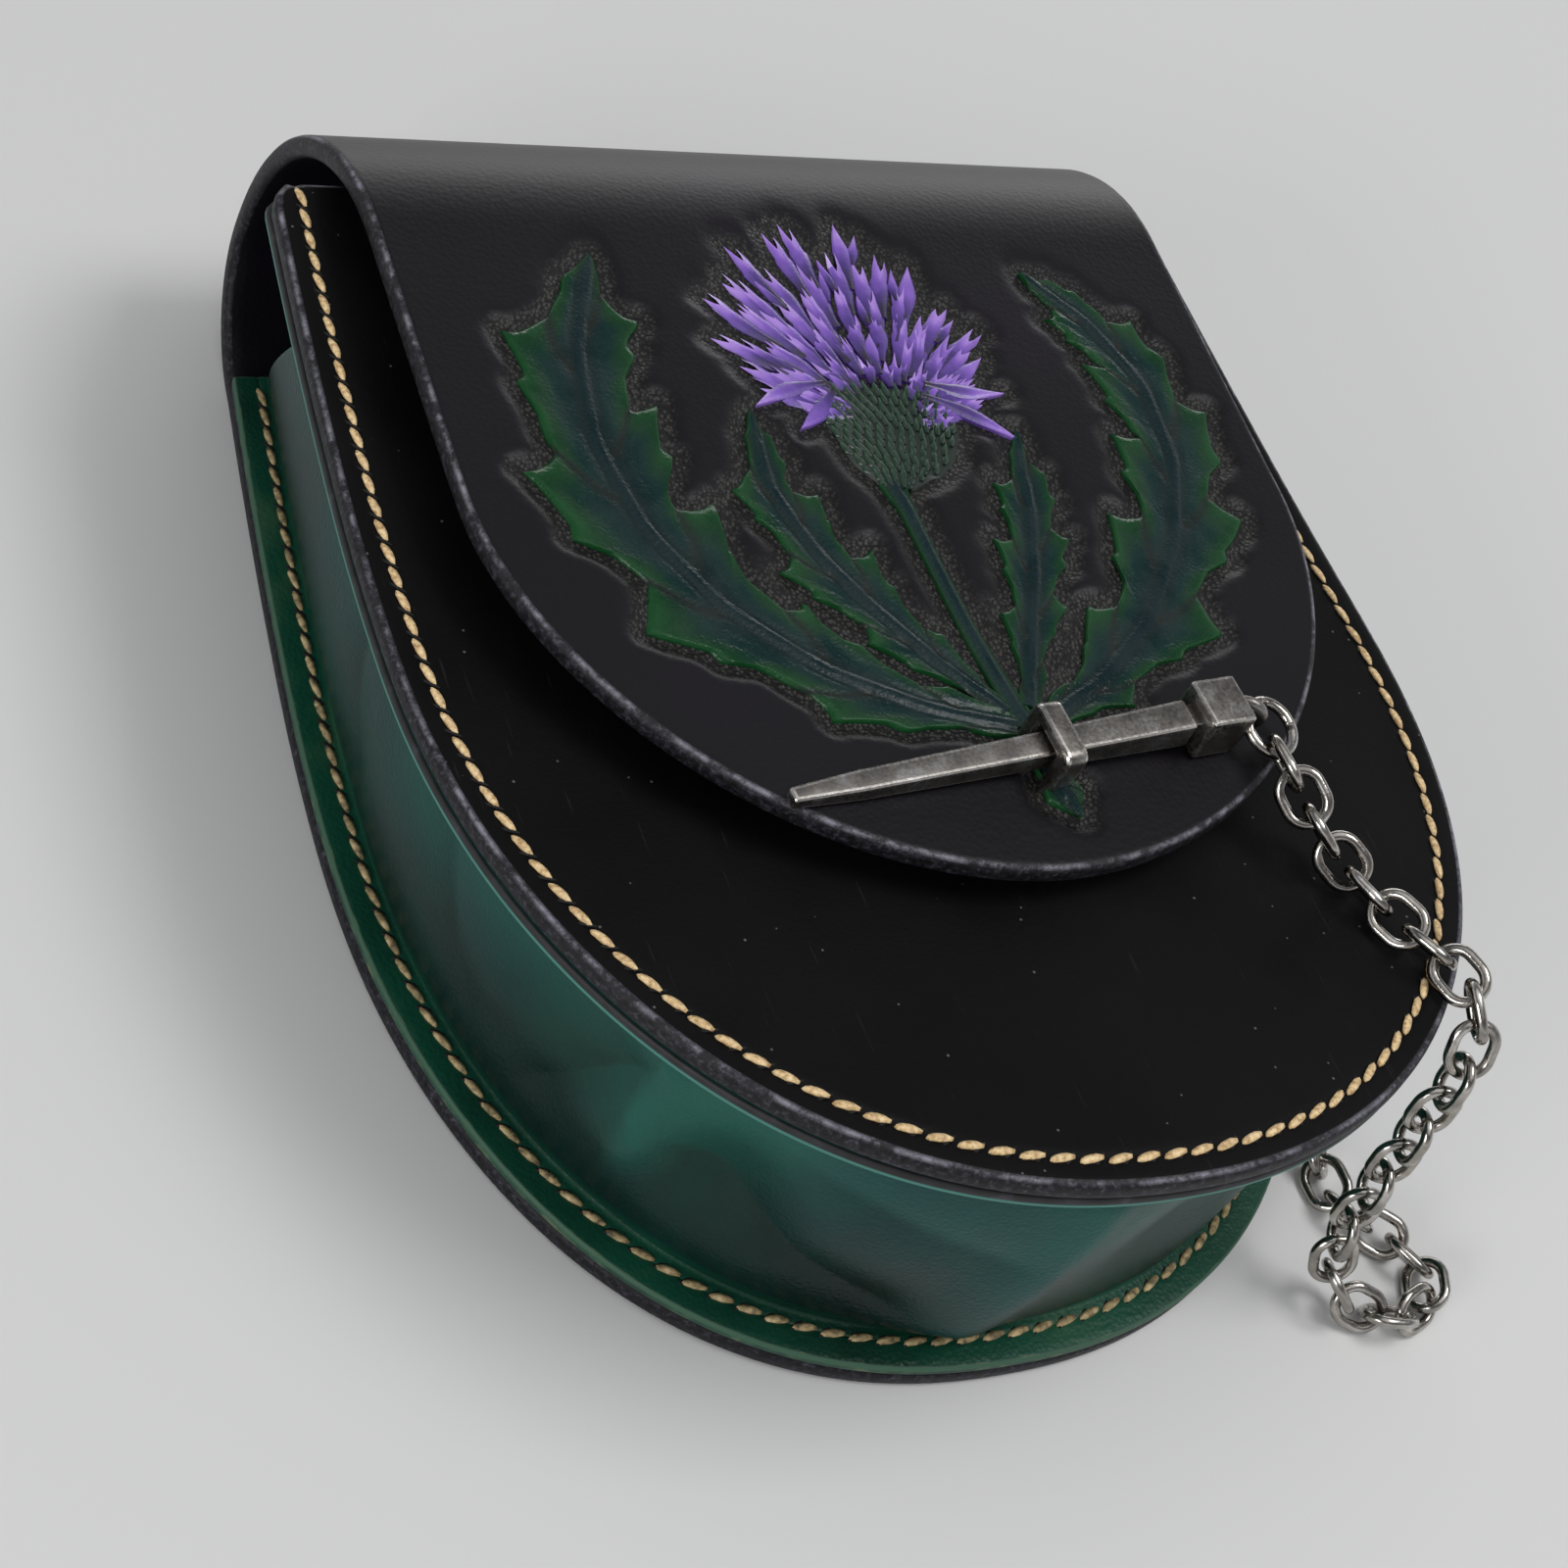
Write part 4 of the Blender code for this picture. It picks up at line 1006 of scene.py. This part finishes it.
flat = front_grid(EDGE_ROUND)
surface = np.stack([flat[..., 0] + lean(flat[..., 1]), flat[..., 1],
                    panel_height(flat[..., 1])], axis=-1)
seam_x, seam_y = outline_at(FRONT, np.linspace(0, 2, 900), STITCH_INSET)
seam_line = kdtree.KDTree(2 * len(seam_x))
for x, y in zip(seam_x, seam_y):
    for side in (-1, 1):
        seam_line.insert((side * x, y, 0.0), 0)
seam_line.balance()
for i in range(flat.shape[0]):
    for j in range(flat.shape[1]):
        away = seam_line.find((flat[i, j, 0], flat[i, j, 1], 0.0))[2]
        surface[i, j, 2] -= GROOVE_DEPTH * float(smooth(1 - away / GROOVE_REACH))
outward = grid_normals(surface)
outward *= np.sign(np.mean(outward[..., 2]))
panel_mesh = leather_slab("front_panel", surface, outward, PANEL_LEATHER, EDGE_ROUND)
panel_piece = keep("front_panel_leather", panel_mesh, panel_leather, edge_leather, panel_leather)
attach(panel_piece, "root")
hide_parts("front_panel")

# Saddle stitches
# Waxed linen thread of 0.8 mm, sewn by hand with two needles at 6 stitches to 25 mm. Each
# visible stitch is a short slanted spindle that dives into an awl hole at both ends.

STITCH_PITCH = 0.0042


def new_tree(name, sockets):
    """A geometry node tree with named inputs, and its first and last node."""
    group = bpy.data.node_groups.new(name, "GeometryNodeTree")
    group.interface.new_socket("Geometry", in_out="OUTPUT", socket_type="NodeSocketGeometry")
    group.interface.new_socket("Geometry", in_out="INPUT", socket_type="NodeSocketGeometry")
    for socket, kind in sockets:
        group.interface.new_socket(socket, in_out="INPUT", socket_type="NodeSocket" + kind)
    return group, group.nodes.new("NodeGroupInput"), group.nodes.new("NodeGroupOutput")


def grown(name, mesh, group, values):
    """Run a geometry node tree on a mesh and keep the result as a plain mesh."""
    guide = bpy.data.objects.new(name, mesh)
    bpy.context.scene.collection.objects.link(guide)
    step = guide.modifiers.new("grow", "NODES")
    step.node_group = group
    for item in group.interface.items_tree:
        if item.item_type == "SOCKET" and item.in_out == "INPUT" and item.name in values:
            step[item.identifier] = values[item.name]
    ready = guide.evaluated_get(bpy.context.evaluated_depsgraph_get())
    made = bpy.data.meshes.new_from_object(ready)
    bpy.data.objects.remove(guide, do_unlink=True)
    made.name = name
    return made


def path_mesh(name, points, up, edges=True):
    mesh = bpy.data.meshes.new(name)
    lines = [(k, k + 1) for k in range(len(points) - 1)] if edges else []
    mesh.from_pydata([tuple(p) for p in points], lines, [])
    mark(mesh, "up", up)
    return mesh


def place_copies(tree, end, copies, finish):
    """Put copies of a shape on points, make them real and smooth, and set their material."""
    placed = add_node(tree, "GeometryNodeInstanceOnPoints", copies)
    real = add_node(tree, "GeometryNodeRealizeInstances", {"Geometry": placed})
    soft = add_node(tree, "GeometryNodeSetShadeSmooth", {"Geometry": real})
    feed(end, {0: add_node(tree, "GeometryNodeSetMaterial", {"Geometry": soft,
                                                             "Material": finish})})


stitch_tree, start, end = new_tree("saddle_stitches", (
    ("Pitch", "Float"), ("Stitch Length", "Float"), ("Thread Width", "Float"),
    ("Slant", "Float"), ("Thread", "Material")))
given = start.outputs
seam = add_node(stitch_tree, "GeometryNodeMeshToCurve", {"Mesh": given["Geometry"]})
marks = add_node(stitch_tree, "GeometryNodeResampleCurve",
                 {"Curve": seam, "Length": given["Pitch"]}, mode="LENGTH")
up = add_node(stitch_tree, "GeometryNodeInputNamedAttribute", {"Name": "up"},
              data_type="FLOAT_VECTOR")
tangent = add_node(stitch_tree, "GeometryNodeInputTangent")
lay = add_node(stitch_tree, "FunctionNodeAxesToRotation",
               {"Primary Axis": up, "Secondary Axis": tangent},
               primary_axis="Z", secondary_axis="X")
# No two stitches lie quite alike: each turns by up to 0.06 radians
wobble = add_node(stitch_tree, "FunctionNodeRandomValue",
                  {"Min": -0.06, "Max": 0.06, "Seed": 7}, data_type="FLOAT")
slant = add_node(stitch_tree, "Math", {0: given["Slant"], 1: wobble}, operation="ADD")
turn = add_node(stitch_tree, "CombineXYZ", {"Z": slant})
turned = add_node(stitch_tree, "FunctionNodeRotateRotation", {"Rotation": lay, "Rotate By": turn},
                  rotation_space="LOCAL")
# One stitch of unit length: it rises from a hole, lies flat and dives into the next
strand = add_node(stitch_tree, "GeometryNodeCurvePrimitiveBezierSegment",
                  {"Resolution": 8, "Start": (-0.5, -0.16, -0.45),
                   "Start Handle": (-0.28, 0.12, 0.25), "End Handle": (0.28, -0.12, 0.25),
                   "End": (0.5, 0.16, -0.45)})
strand = add_node(stitch_tree, "GeometryNodeResampleCurve", {"Curve": strand, "Count": 9})
along = add_node(stitch_tree, "GeometryNodeSplineParameter").outputs["Factor"]
centred = add_node(stitch_tree, "Math", {0: along, 1: 2.0, 2: -1.0}, operation="MULTIPLY_ADD")
outward = add_node(stitch_tree, "Math", {0: centred}, operation="ABSOLUTE")
tapering = add_node(stitch_tree, "Math", {0: outward, 1: 2.2}, operation="POWER")
fullness = add_node(stitch_tree, "Math", {0: tapering, 1: -0.72, 2: 1.0},
                    operation="MULTIPLY_ADD")
round_thread = add_node(stitch_tree, "GeometryNodeCurvePrimitiveCircle",
                        {"Resolution": 6, "Radius": 0.5})
spindle = add_node(stitch_tree, "GeometryNodeCurveToMesh",
                   {"Curve": strand, "Profile Curve": round_thread, "Scale": fullness,
                    "Fill Caps": True})
flat_height = add_node(stitch_tree, "Math", {0: given["Thread Width"], 1: 0.6},
                       operation="MULTIPLY")
girth = add_node(stitch_tree, "CombineXYZ", {"X": given["Stitch Length"],
                                             "Y": given["Thread Width"], "Z": flat_height})
place_copies(stitch_tree, end, {"Points": marks, "Instance": spindle, "Rotation": turned,
                                "Scale": girth}, given["Thread"])


def linen(name, scale, detail, colors, rough):
    """Waxed linen thread: pale and satiny, mottled where its plies cross."""
    finish, tree, shader, place = new_material(name)
    ply = add_node(tree, "TexNoise", {"Vector": place, "Scale": scale, "Detail": detail})
    feed(shader, {"Base Color": ramp(tree, ply, tuple(zip((0.3, 0.5, 0.7), colors))),
                  "Roughness": rough})
    return finish


thread = linen("waxed_linen_thread_tan", 1500.0, 2.0, ("#a88759", "#d6b888", "#edd3a5"), 0.6)
# The lower seam's thread is darker and duller
dull_thread = linen("waxed_linen_thread_darker", 900.0, 3.0, ("#4f4833", "#9b8860", "#c7b187"),
                    0.65)
# The slanted awl slits between the stitches: near black pieces that stand for the shade inside
# each hole, painted shade
awl_slit_shade, tree, shader, place = new_material("awl_slit_painted_shade")
crumbs = add_node(tree, "TexNoise", {"Vector": place, "Scale": 2400.0})
rough_slit_bump = add_node(tree, "Bump", {"Height": crumbs, "Strength": 0.5, "Distance": 0.0001})
feed(shader, {"Base Color": "#040404", "Roughness": 0.8, "Normal": rough_slit_bump})


def seam_path(outline, top, face, lift, start_at):
    """A seam from its left top end round the bottom to its right top end."""
    x, y = outline_at(outline, np.linspace(0, 2, 400), STITCH_INSET)
    wanted = y < top
    x, y = x[wanted], y[wanted]
    x = np.concatenate([-x[:0:-1], x])
    y = np.concatenate([y[:0:-1], y])
    points = np.stack([x + lean(y), y, face(y) + lift], axis=1)
    return even(points, 0, np.linspace(start_at / lengths_along(points)[-1], 1, 500))


def flange_face(y):
    return BODY_LEATHER + GAP + GUSSET_LEATHER + 0 * y


FRONT_SEAM = (FRONT, FRONT_TOP - 0.003, panel_height)
BACK_SEAM = (BACK, GUSSET_TOP - 0.004, flange_face)
# Name, course, height over the leather, start, slant in degrees, length, width, finish
SEAMS = (
    ("front_seam_stitches", FRONT_SEAM, 0.00005, 0.0, 10, 0.0029, 0.0013, thread),
    ("back_seam_stitches", BACK_SEAM, 0.00008, 0.0, 10, 0.0029, 0.0013, dull_thread),
    ("front_seam_awl_slit_shade", FRONT_SEAM, -0.00012, STITCH_PITCH / 2, 48, 0.0021, 0.0006, awl_slit_shade),
    ("back_seam_awl_slit_shade", BACK_SEAM, -0.00012, STITCH_PITCH / 2, 48, 0.0021, 0.0009, awl_slit_shade),
)
for name, (outline, top, face), lift, start_at, slant, length, width, finish in SEAMS:
    path = seam_path(outline, top, face, lift, start_at)
    up = np.tile([0.0, 0.0, 1.0], (len(path), 1))
    piece = keep(name, grown(name, path_mesh(name + "_path", path, up), stitch_tree, {
        "Pitch": STITCH_PITCH, "Stitch Length": length, "Thread Width": width,
        "Slant": math.radians(slant), "Thread": finish}))
    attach(piece, "root")

# Staple and peg
# The clasp is cast steel with an antique finish, dark in the faces and rubbed bright on its edges,
# which are also painted lighter as a highlight: a square hoop riveted to the front panel, and a
# square peg that locks it.

STAPLE_X = 0.0018
STAPLE_Y = -0.0290
STAPLE_WIDTH = 0.0038
STAPLE_METAL = 0.0022
STAPLE_SPAN = 0.0096
PLATE_LENGTH = 0.0180
PLATE_WIDTH = 0.0140
PLATE_METAL = 0.0012
HOOP_SWELL = 0.0006
HOOP_ROUND = 0.0017
INNER_ROUND = 0.0002
PEG_LENGTH = 0.0740
PEG_TURN = math.radians(5.8)
PEG_TIP = 0.0018
PEG_ROOT = 0.0050
PEG_ALONG = 0.0420
NECK_LENGTH = 0.0010
NECK_THICK = 0.0036
HEAD_LENGTH = 0.0077
HEAD_WIDTH = 0.0080
HEAD_HEIGHT = 0.0083
WIRE = 0.0017
EYE_DIAMETER = 0.0069
RING_DIAMETER = 0.0101
RING_FROM_HEAD = (0.0058, -0.0025, -0.00065)
RING_NORMAL = (0.13, -0.20, 0.97)
RING_TO_PEG = (-0.0037, 0.0022, 0.0)
RING_TO_LINK = (0.0, -0.0042, -0.0008)
PEG_REST = FLAP_Z + GAP
HEAD_Z = PEG_REST + HEAD_HEIGHT / 2
TIP_Z = PEG_REST + PEG_TIP / 2
PEG_RISE = math.atan2(HEAD_Z - TIP_Z, PEG_LENGTH)
SHAFT_LENGTH = PEG_LENGTH - HEAD_LENGTH - NECK_LENGTH
CROSSING_Z = TIP_Z + (HEAD_Z - TIP_Z) * PEG_ALONG / PEG_LENGTH
SHAFT_AT_STAPLE = PEG_TIP + (PEG_ROOT - PEG_TIP) * PEG_ALONG / SHAFT_LENGTH
STAPLE_INNER_TOP = CROSSING_Z + SHAFT_AT_STAPLE / 2 + 2 * GAP
STAPLE_TURN = Matrix.Translation((STAPLE_X, STAPLE_Y, 0)) @ Matrix.Rotation(PEG_TURN, 4, "Z")
PEG_FRAME = (Matrix.Translation((STAPLE_X, STAPLE_Y, CROSSING_Z))
             @ Matrix.Rotation(PEG_TURN, 4, "Z") @ Matrix.Rotation(-PEG_RISE, 4, "Y"))


def skin(metal, rings, place, width, sharpness=math.radians(45)):
    """Join rings of four points into a bar, round its sharp edges and add it to the metal."""
    bar = bmesh.new()
    rings = [[bar.verts.new(point) for point in ring] for ring in rings]
    bar.faces.new(rings[0][::-1])
    bar.faces.new(rings[-1])
    for low, high in zip(rings, rings[1:]):
        for k in range(4):
            after = (k + 1) % 4
            bar.faces.new((low[k], low[after], high[after], high[k]))
    bmesh.ops.recalc_face_normals(bar, faces=bar.faces)
    sharp = [edge for edge in bar.edges if edge.calc_face_angle() > sharpness]
    bmesh.ops.bevel(bar, geom=sharp, offset=width, segments=3, profile=0.6,
                    affect="EDGES", material=1)
    bar.transform(place)
    join_into(metal, bar)


def square_bar(metal, sections, place, width):
    """A square bar through cross-sections: place along X, width and height."""
    corners = ((-1, -1), (1, -1), (1, 1), (-1, 1))
    skin(metal, [[(along, y * wide / 2, z * tall / 2) for y, z in corners]
                 for along, wide, tall in sections], place, width)


def join_into(metal, part):
    scrap = mesh_from(part, "scrap")
    metal.from_mesh(scrap)
    bpy.data.meshes.remove(scrap)


def torus(metal, major, minor, place, segments=36, sides=12):
    rings = []
    part = bmesh.new()
    for k in range(segments):
        turn = 2 * math.pi * k / segments
        centre = Vector((math.cos(turn), math.sin(turn), 0))
        rings.append([part.verts.new(centre * (major + minor * math.cos(a))
                                     + Vector((0, 0, minor * math.sin(a))))
                      for a in (2 * math.pi * j / sides for j in range(sides))])
    for k in range(segments):
        for j in range(sides):
            part.faces.new((rings[k][j], rings[(k + 1) % segments][j],
                            rings[(k + 1) % segments][(j + 1) % sides], rings[k][(j + 1) % sides]))
    bmesh.ops.recalc_face_normals(part, faces=part.faces)
    part.transform(place)
    join_into(metal, part)


def metal_piece(name, metal, slot, *finishes):
    mesh = mesh_from(metal, name)
    mesh.shade_smooth()
    mesh.set_sharp_from_angle(angle=math.radians(32))
    piece = keep(name, mesh, *finishes)
    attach(piece, "root")
    return piece


def facing(origin, along, normal):
    x = along.normalized()
    y = normal.cross(x).normalized()
    return Matrix.Translation(origin) @ Matrix((x, y, x.cross(y))).transposed().to_4x4()


def steel(name, dark, light, warm, rough):
    """Steel in three tones that drift into each other, with shallow pits and a patchy polish."""
    finish, tree, shader, place = new_material(name)
    clouds = add_node(tree, "TexNoise", {"Vector": place, "Scale": 260.0, "Detail": 6.0})
    color = ramp(tree, clouds, ((0.30, dark), (0.50, warm), (0.72, light)))
    pits = add_node(tree, "TexNoise", {"Vector": place, "Scale": 1800.0, "Detail": 3.0})
    matt = add_node(tree, "MapRange", {"Value": pits, "From Min": 0.3, "From Max": 0.7,
                                       "To Min": rough - 0.08, "To Max": rough + 0.12})
    dimples = add_node(tree, "Bump", {"Height": pits, "Strength": 0.11, "Distance": 0.0002})
    feed(shader, {"Base Color": color, "Metallic": 1.0, "Roughness": matt, "Normal": dimples})
    return finish


# Cast steel, blackened and oiled: a dull grey-brown skin that mirrors softly
cast_steel = steel("cast_steel_antique_dark", "#626160", "#9a9998", "#7d7873", 0.34)
# The same steel rubbed bright by hand along the edges, and painted lighter there as a highlight
rubbed_and_highlight_steel = steel("cast_steel_rubbed_bright_and_painted_highlight", "#aaa7a3", "#dad7d3", "#c3beb7", 0.24)

hoop = bmesh.new()
inner_y = STAPLE_SPAN / 2 - STAPLE_METAL
plate_z = panel_height(STAPLE_Y + PLATE_WIDTH / 2) + GAP + PLATE_METAL / 2
section = [(STAPLE_SPAN / 2, inner_y, plate_z, plate_z)]
# Above the flap the hoop swells a little at each side
for height, swell in ((FLAP_Z + 0.0002, 0.0), (FLAP_Z + 0.0016, 0.0004),
                      (STAPLE_INNER_TOP - 0.0008, HOOP_SWELL)):
    section.append((STAPLE_SPAN / 2 + swell, inner_y, height, height))
for turn in np.linspace(0, math.pi / 2, 5):
    section.append((STAPLE_SPAN / 2 + HOOP_SWELL - HOOP_ROUND * (1 - math.cos(turn)),
                    inner_y - INNER_ROUND * (1 - math.cos(turn)),
                    STAPLE_INNER_TOP + STAPLE_METAL - HOOP_ROUND * (1 - math.sin(turn)),
                    STAPLE_INNER_TOP - INNER_ROUND * (1 - math.sin(turn))))
section += [(-outer_y, -in_y, outer_z, in_z) for outer_y, in_y, outer_z, in_z in section[::-1]]
half = STAPLE_WIDTH / 2
skin(hoop, [((-half, outer_y, outer_z), (half, outer_y, outer_z), (half, in_y, in_z),
             (-half, in_y, in_z)) for outer_y, in_y, outer_z, in_z in section],
     STAPLE_TURN, 0.0007, math.radians(55))
plate_place = STAPLE_TURN @ Matrix.Translation((0, 0, plate_z))
square_bar(hoop, ((-PLATE_WIDTH / 2, PLATE_LENGTH, PLATE_METAL),
                  (PLATE_WIDTH / 2, PLATE_LENGTH, PLATE_METAL)), plate_place, 0.0003)
staple_piece = metal_piece("staple_hoop", hoop, "antique_steel", cast_steel, rubbed_and_highlight_steel)
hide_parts("staple")

peg = bmesh.new()
square_bar(peg, ((-PEG_ALONG, 0.0024, 0.0022), (-PEG_ALONG + 0.011, 0.0035, 0.0029),
                 (0.0, 0.0042, SHAFT_AT_STAPLE), (SHAFT_LENGTH - PEG_ALONG, PEG_ROOT, PEG_ROOT)),
           PEG_FRAME, 0.0006)
square_bar(peg, ((SHAFT_LENGTH - PEG_ALONG - 0.001, NECK_THICK, NECK_THICK),
                 (SHAFT_LENGTH + NECK_LENGTH - PEG_ALONG + 0.001, NECK_THICK, NECK_THICK)),
           PEG_FRAME, 0.0002)
head_end = (PEG_FRAME @ Matrix.Translation((PEG_LENGTH - PEG_ALONG, 0, 0))).translation
head_place = (Matrix.Translation((head_end.x, head_end.y, HEAD_Z))
              @ Matrix.Rotation(PEG_TURN, 4, "Z"))
square_bar(peg, ((-HEAD_LENGTH, HEAD_WIDTH, HEAD_HEIGHT), (0.0, HEAD_WIDTH, HEAD_HEIGHT)),
           head_place, 0.00065)
ring_centre = head_place.translation + Vector(RING_FROM_HEAD)
ring_normal = Vector(RING_NORMAL).normalized()


def ring_point(reach):
    out = Vector(reach)
    out = (out - ring_normal * out.dot(ring_normal)).normalized()
    return ring_centre + out * (RING_DIAMETER - WIRE) / 2, out


EYE_RING = (EYE_DIAMETER - WIRE) / 2
HOOK = EYE_RING - WIRE - GAP
hook, out = ring_point(RING_TO_PEG)
torus(peg, EYE_RING, WIRE / 2, facing(hook + out * HOOK, -out, ring_normal.cross(out)))
peg_piece = metal_piece("closure_peg_cast", peg, "antique_steel", cast_steel, rubbed_and_highlight_steel)
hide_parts("closure_peg")

# Ring, chain and stud
# Bright drawn steel wire of 1.7 mm, bent into a ring and 32 closed oval links. The chain keeps
# the peg from getting lost: it hangs over the front edge and ends in a stud on the gusset.

LINK_LENGTH = 0.0098
LINK_WIDTH = 0.0078
LINK_PLAY = 0.0005
EYE_REACH = 0.0016
LINK_ROLL = math.radians(45)
FIRST_ROLL = math.radians(56)
CHAIN_ROUTE = (
    (0.0398, -0.0374, 0.0674),
    (0.0420, -0.0418, 0.0651),
    (0.0456, -0.0456, 0.0617),
    (0.0490, -0.0497, 0.0598),
    (0.0507, -0.0550, 0.0604),
    (0.0532, -0.0605, 0.0610),
    (0.0560, -0.0655, 0.0616),
    (0.0578, -0.0708, 0.0618),
    (0.0584, -0.0752, 0.0598),
    (0.0576, -0.0786, 0.0550),
    (0.0564, -0.0806, 0.0480),
    (0.0556, -0.0822, 0.0390),
    (0.0552, -0.0838, 0.0290),
    (0.0552, -0.0852, 0.0190),
    (0.0557, -0.0868, 0.0125),
    (0.0572, -0.0890, 0.0076),
    (0.0600, -0.0918, 0.0046),
    (0.0645, -0.0944, 0.0033),
    (0.0706, -0.0958, 0.0031),
    (0.0766, -0.0934, 0.0031),
    (0.0780, -0.0880, 0.0031),
    (0.0746, -0.0830, 0.0031),
    (0.0700, -0.0788, 0.0031),
    (0.0672, -0.0740, 0.0031),
    (0.0672, -0.0690, 0.0031),
    (0.0692, -0.0640, 0.0033),
    (0.0718, -0.0582, 0.0036),
    (0.0738, -0.0524, 0.0058),
)
ANCHOR_ALONG = 0.71
ANCHOR_HEIGHT = 0.22
ANCHOR_PLATE = 0.0080
ANCHOR_METAL = 0.0012
ANCHOR_SEAT = 0.0008

# Steel wire drawn through a die and tumbled: bright and smooth, so it mirrors the room
drawn_steel = steel("drawn_steel_wire_polished", "#7f7d7a", "#cbc8c4", "#a39e97", 0.15)


def smooth_route(points, steps=16):
    points = [Vector(point) for point in points]
    padded = [2 * points[0] - points[1]] + points + [2 * points[-1] - points[-2]]
    curve = []
    for a, b, c, d in zip(padded, padded[1:], padded[2:], padded[3:]):
        for step in range(steps):
            t = step / steps
            curve.append(0.5 * (2 * b + (c - a) * t + (2 * a - 5 * b + 4 * c - d) * t * t
                                + (3 * b - 3 * c + d - a) * t ** 3))
    return curve + [points[-1]]


def gusset_spot(along):
    """A point of the gusset's inner face at the stud's height."""
    inset = (FLANGE - BELLY * math.sin(math.pi * ANCHOR_HEIGHT)
             + dent_depth(along, ANCHOR_HEIGHT))
    x, y = (float(value) for value in outline_at(wall_outline(ANCHOR_HEIGHT), along, inset))
    return Vector((x + float(lean(y)), y, wall_height(y, ANCHOR_HEIGHT)))


here, ahead = gusset_spot(ANCHOR_ALONG), gusset_spot(ANCHOR_ALONG + 0.01)
seat_out = (ahead - here).cross(Vector((0, 0, 1))).normalized()
seat = facing(here, seat_out, Vector((0, 0, 1)))
eye_centre = seat @ Vector((ANCHOR_SEAT + ANCHOR_METAL + EYE_REACH, 0, 0))
eye = facing(eye_centre, seat_out, seat_out.cross(Vector(CHAIN_ROUTE[-1]) - eye_centre))
stud = bmesh.new()
bmesh.ops.create_cone(stud, segments=32, radius1=ANCHOR_PLATE / 2, radius2=ANCHOR_PLATE / 2,
                      depth=ANCHOR_METAL, cap_ends=True)
bmesh.ops.bevel(stud, geom=[e for e in stud.edges if e.calc_face_angle() > 1.0],
                offset=0.0003, segments=3, affect="EDGES")
stud.transform(seat @ Matrix.Translation((ANCHOR_SEAT + ANCHOR_METAL / 2, 0, 0))
               @ Matrix.Rotation(math.pi / 2, 4, "Y"))
torus(stud, EYE_RING, WIRE / 2, eye)
stud_piece = metal_piece("chain_stud", stud, "chain_steel", drawn_steel)
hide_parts("chain_anchor")

low, out = ring_point(RING_TO_LINK)
first = low - out * (WIRE + LINK_PLAY) / 2
fall = (Vector(CHAIN_ROUTE[-1]) - eye_centre).normalized()
last = eye_centre + fall * (HOOK + (WIRE + LINK_PLAY) / 2)
route = np.array([tuple(p) for p in smooth_route((first,) + CHAIN_ROUTE + (last,))])
pitch = LINK_LENGTH - 2 * WIRE - LINK_PLAY
pairs = math.ceil(lengths_along(route)[-1] / (2 * pitch))
hooks = [Vector(p) for p in even(route, 2 * pairs + 1)]
middles, alongs, flats = [], [], []
for number, (start_hook, end_hook) in enumerate(zip(hooks, hooks[1:]), 1):
    along = (end_hook - start_hook).normalized()
    level = Vector((along.x, along.y, 0.0)).length
    upward = Vector((0, 0, 1)) * level - Vector((0.5, -0.85, 0.0)) * min(along.z, 0.0)
    roll = FIRST_ROLL if number == 1 else LINK_ROLL
    place = facing((start_hook + end_hook) / 2, along, upward)
    place = place @ Matrix.Rotation(-roll if number % 2 else roll, 4, "X")
    if number == len(hooks) - 1:
        place = facing(place.translation, along, along.cross(eye.col[2].to_3d()))
    middles.append(place.translation)
    alongs.append(place.col[0].to_3d())
    flats.append(place.col[2].to_3d())

link_tree, start, end = new_tree("wire_links", (
    ("Link Length", "Float"), ("Link Width", "Float"), ("Wire", "Float"), ("Metal", "Material")))
given = start.outputs
long_side = add_node(link_tree, "Math", {0: given["Link Length"], 1: given["Wire"]},
                     operation="SUBTRACT")
short_side = add_node(link_tree, "Math", {0: given["Link Width"], 1: given["Wire"]},
                      operation="SUBTRACT")
# The bend is a hair under half the width, because at a full half the fillet fails
bend = add_node(link_tree, "Math", {0: short_side, 1: 0.4999}, operation="MULTIPLY")
oval = add_node(link_tree, "GeometryNodeCurvePrimitiveQuadrilateral",
                {"Width": long_side, "Height": short_side})
rounded = add_node(link_tree, "GeometryNodeFilletCurve",
                   {"Curve": oval, "Radius": bend, "Count": 8}, mode="POLY")
radius = add_node(link_tree, "Math", {0: given["Wire"], 1: 0.5}, operation="MULTIPLY")
wire_round = add_node(link_tree, "GeometryNodeCurvePrimitiveCircle",
                      {"Radius": radius, "Resolution": 12})
bent = add_node(link_tree, "GeometryNodeCurveToMesh",
                {"Curve": rounded, "Profile Curve": wire_round})
along_input, up_input = (add_node(link_tree, "GeometryNodeInputNamedAttribute", {"Name": name},
                                  data_type="FLOAT_VECTOR") for name in ("along", "up"))
lay = add_node(link_tree, "FunctionNodeAxesToRotation",
               {"Primary Axis": along_input, "Secondary Axis": up_input},
               primary_axis="X", secondary_axis="Z")
place_copies(link_tree, end, {"Points": given["Geometry"], "Instance": bent, "Rotation": lay},
             given["Metal"])


def wire_links(name, places, along, flat, length, width, nodes):
    points = path_mesh(name + "_places", places, flat, edges=False)
    mark(points, "along", along)
    piece = keep(name, grown(name, points, link_tree, {
        "Link Length": length, "Link Width": width, "Wire": WIRE, "Metal": drawn_steel}))
    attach(piece, "root")
    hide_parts(*nodes)


wire_links("peg_ring", [ring_centre], [ring_point(RING_TO_LINK)[1]], [ring_normal],
           RING_DIAMETER, RING_DIAMETER, ["chain_ring"])
wire_links("peg_chain", middles, alongs, flats, LINK_LENGTH, LINK_WIDTH,
           [f"chain_link_{number:02d}" for number in range(1, len(middles) + 1)])
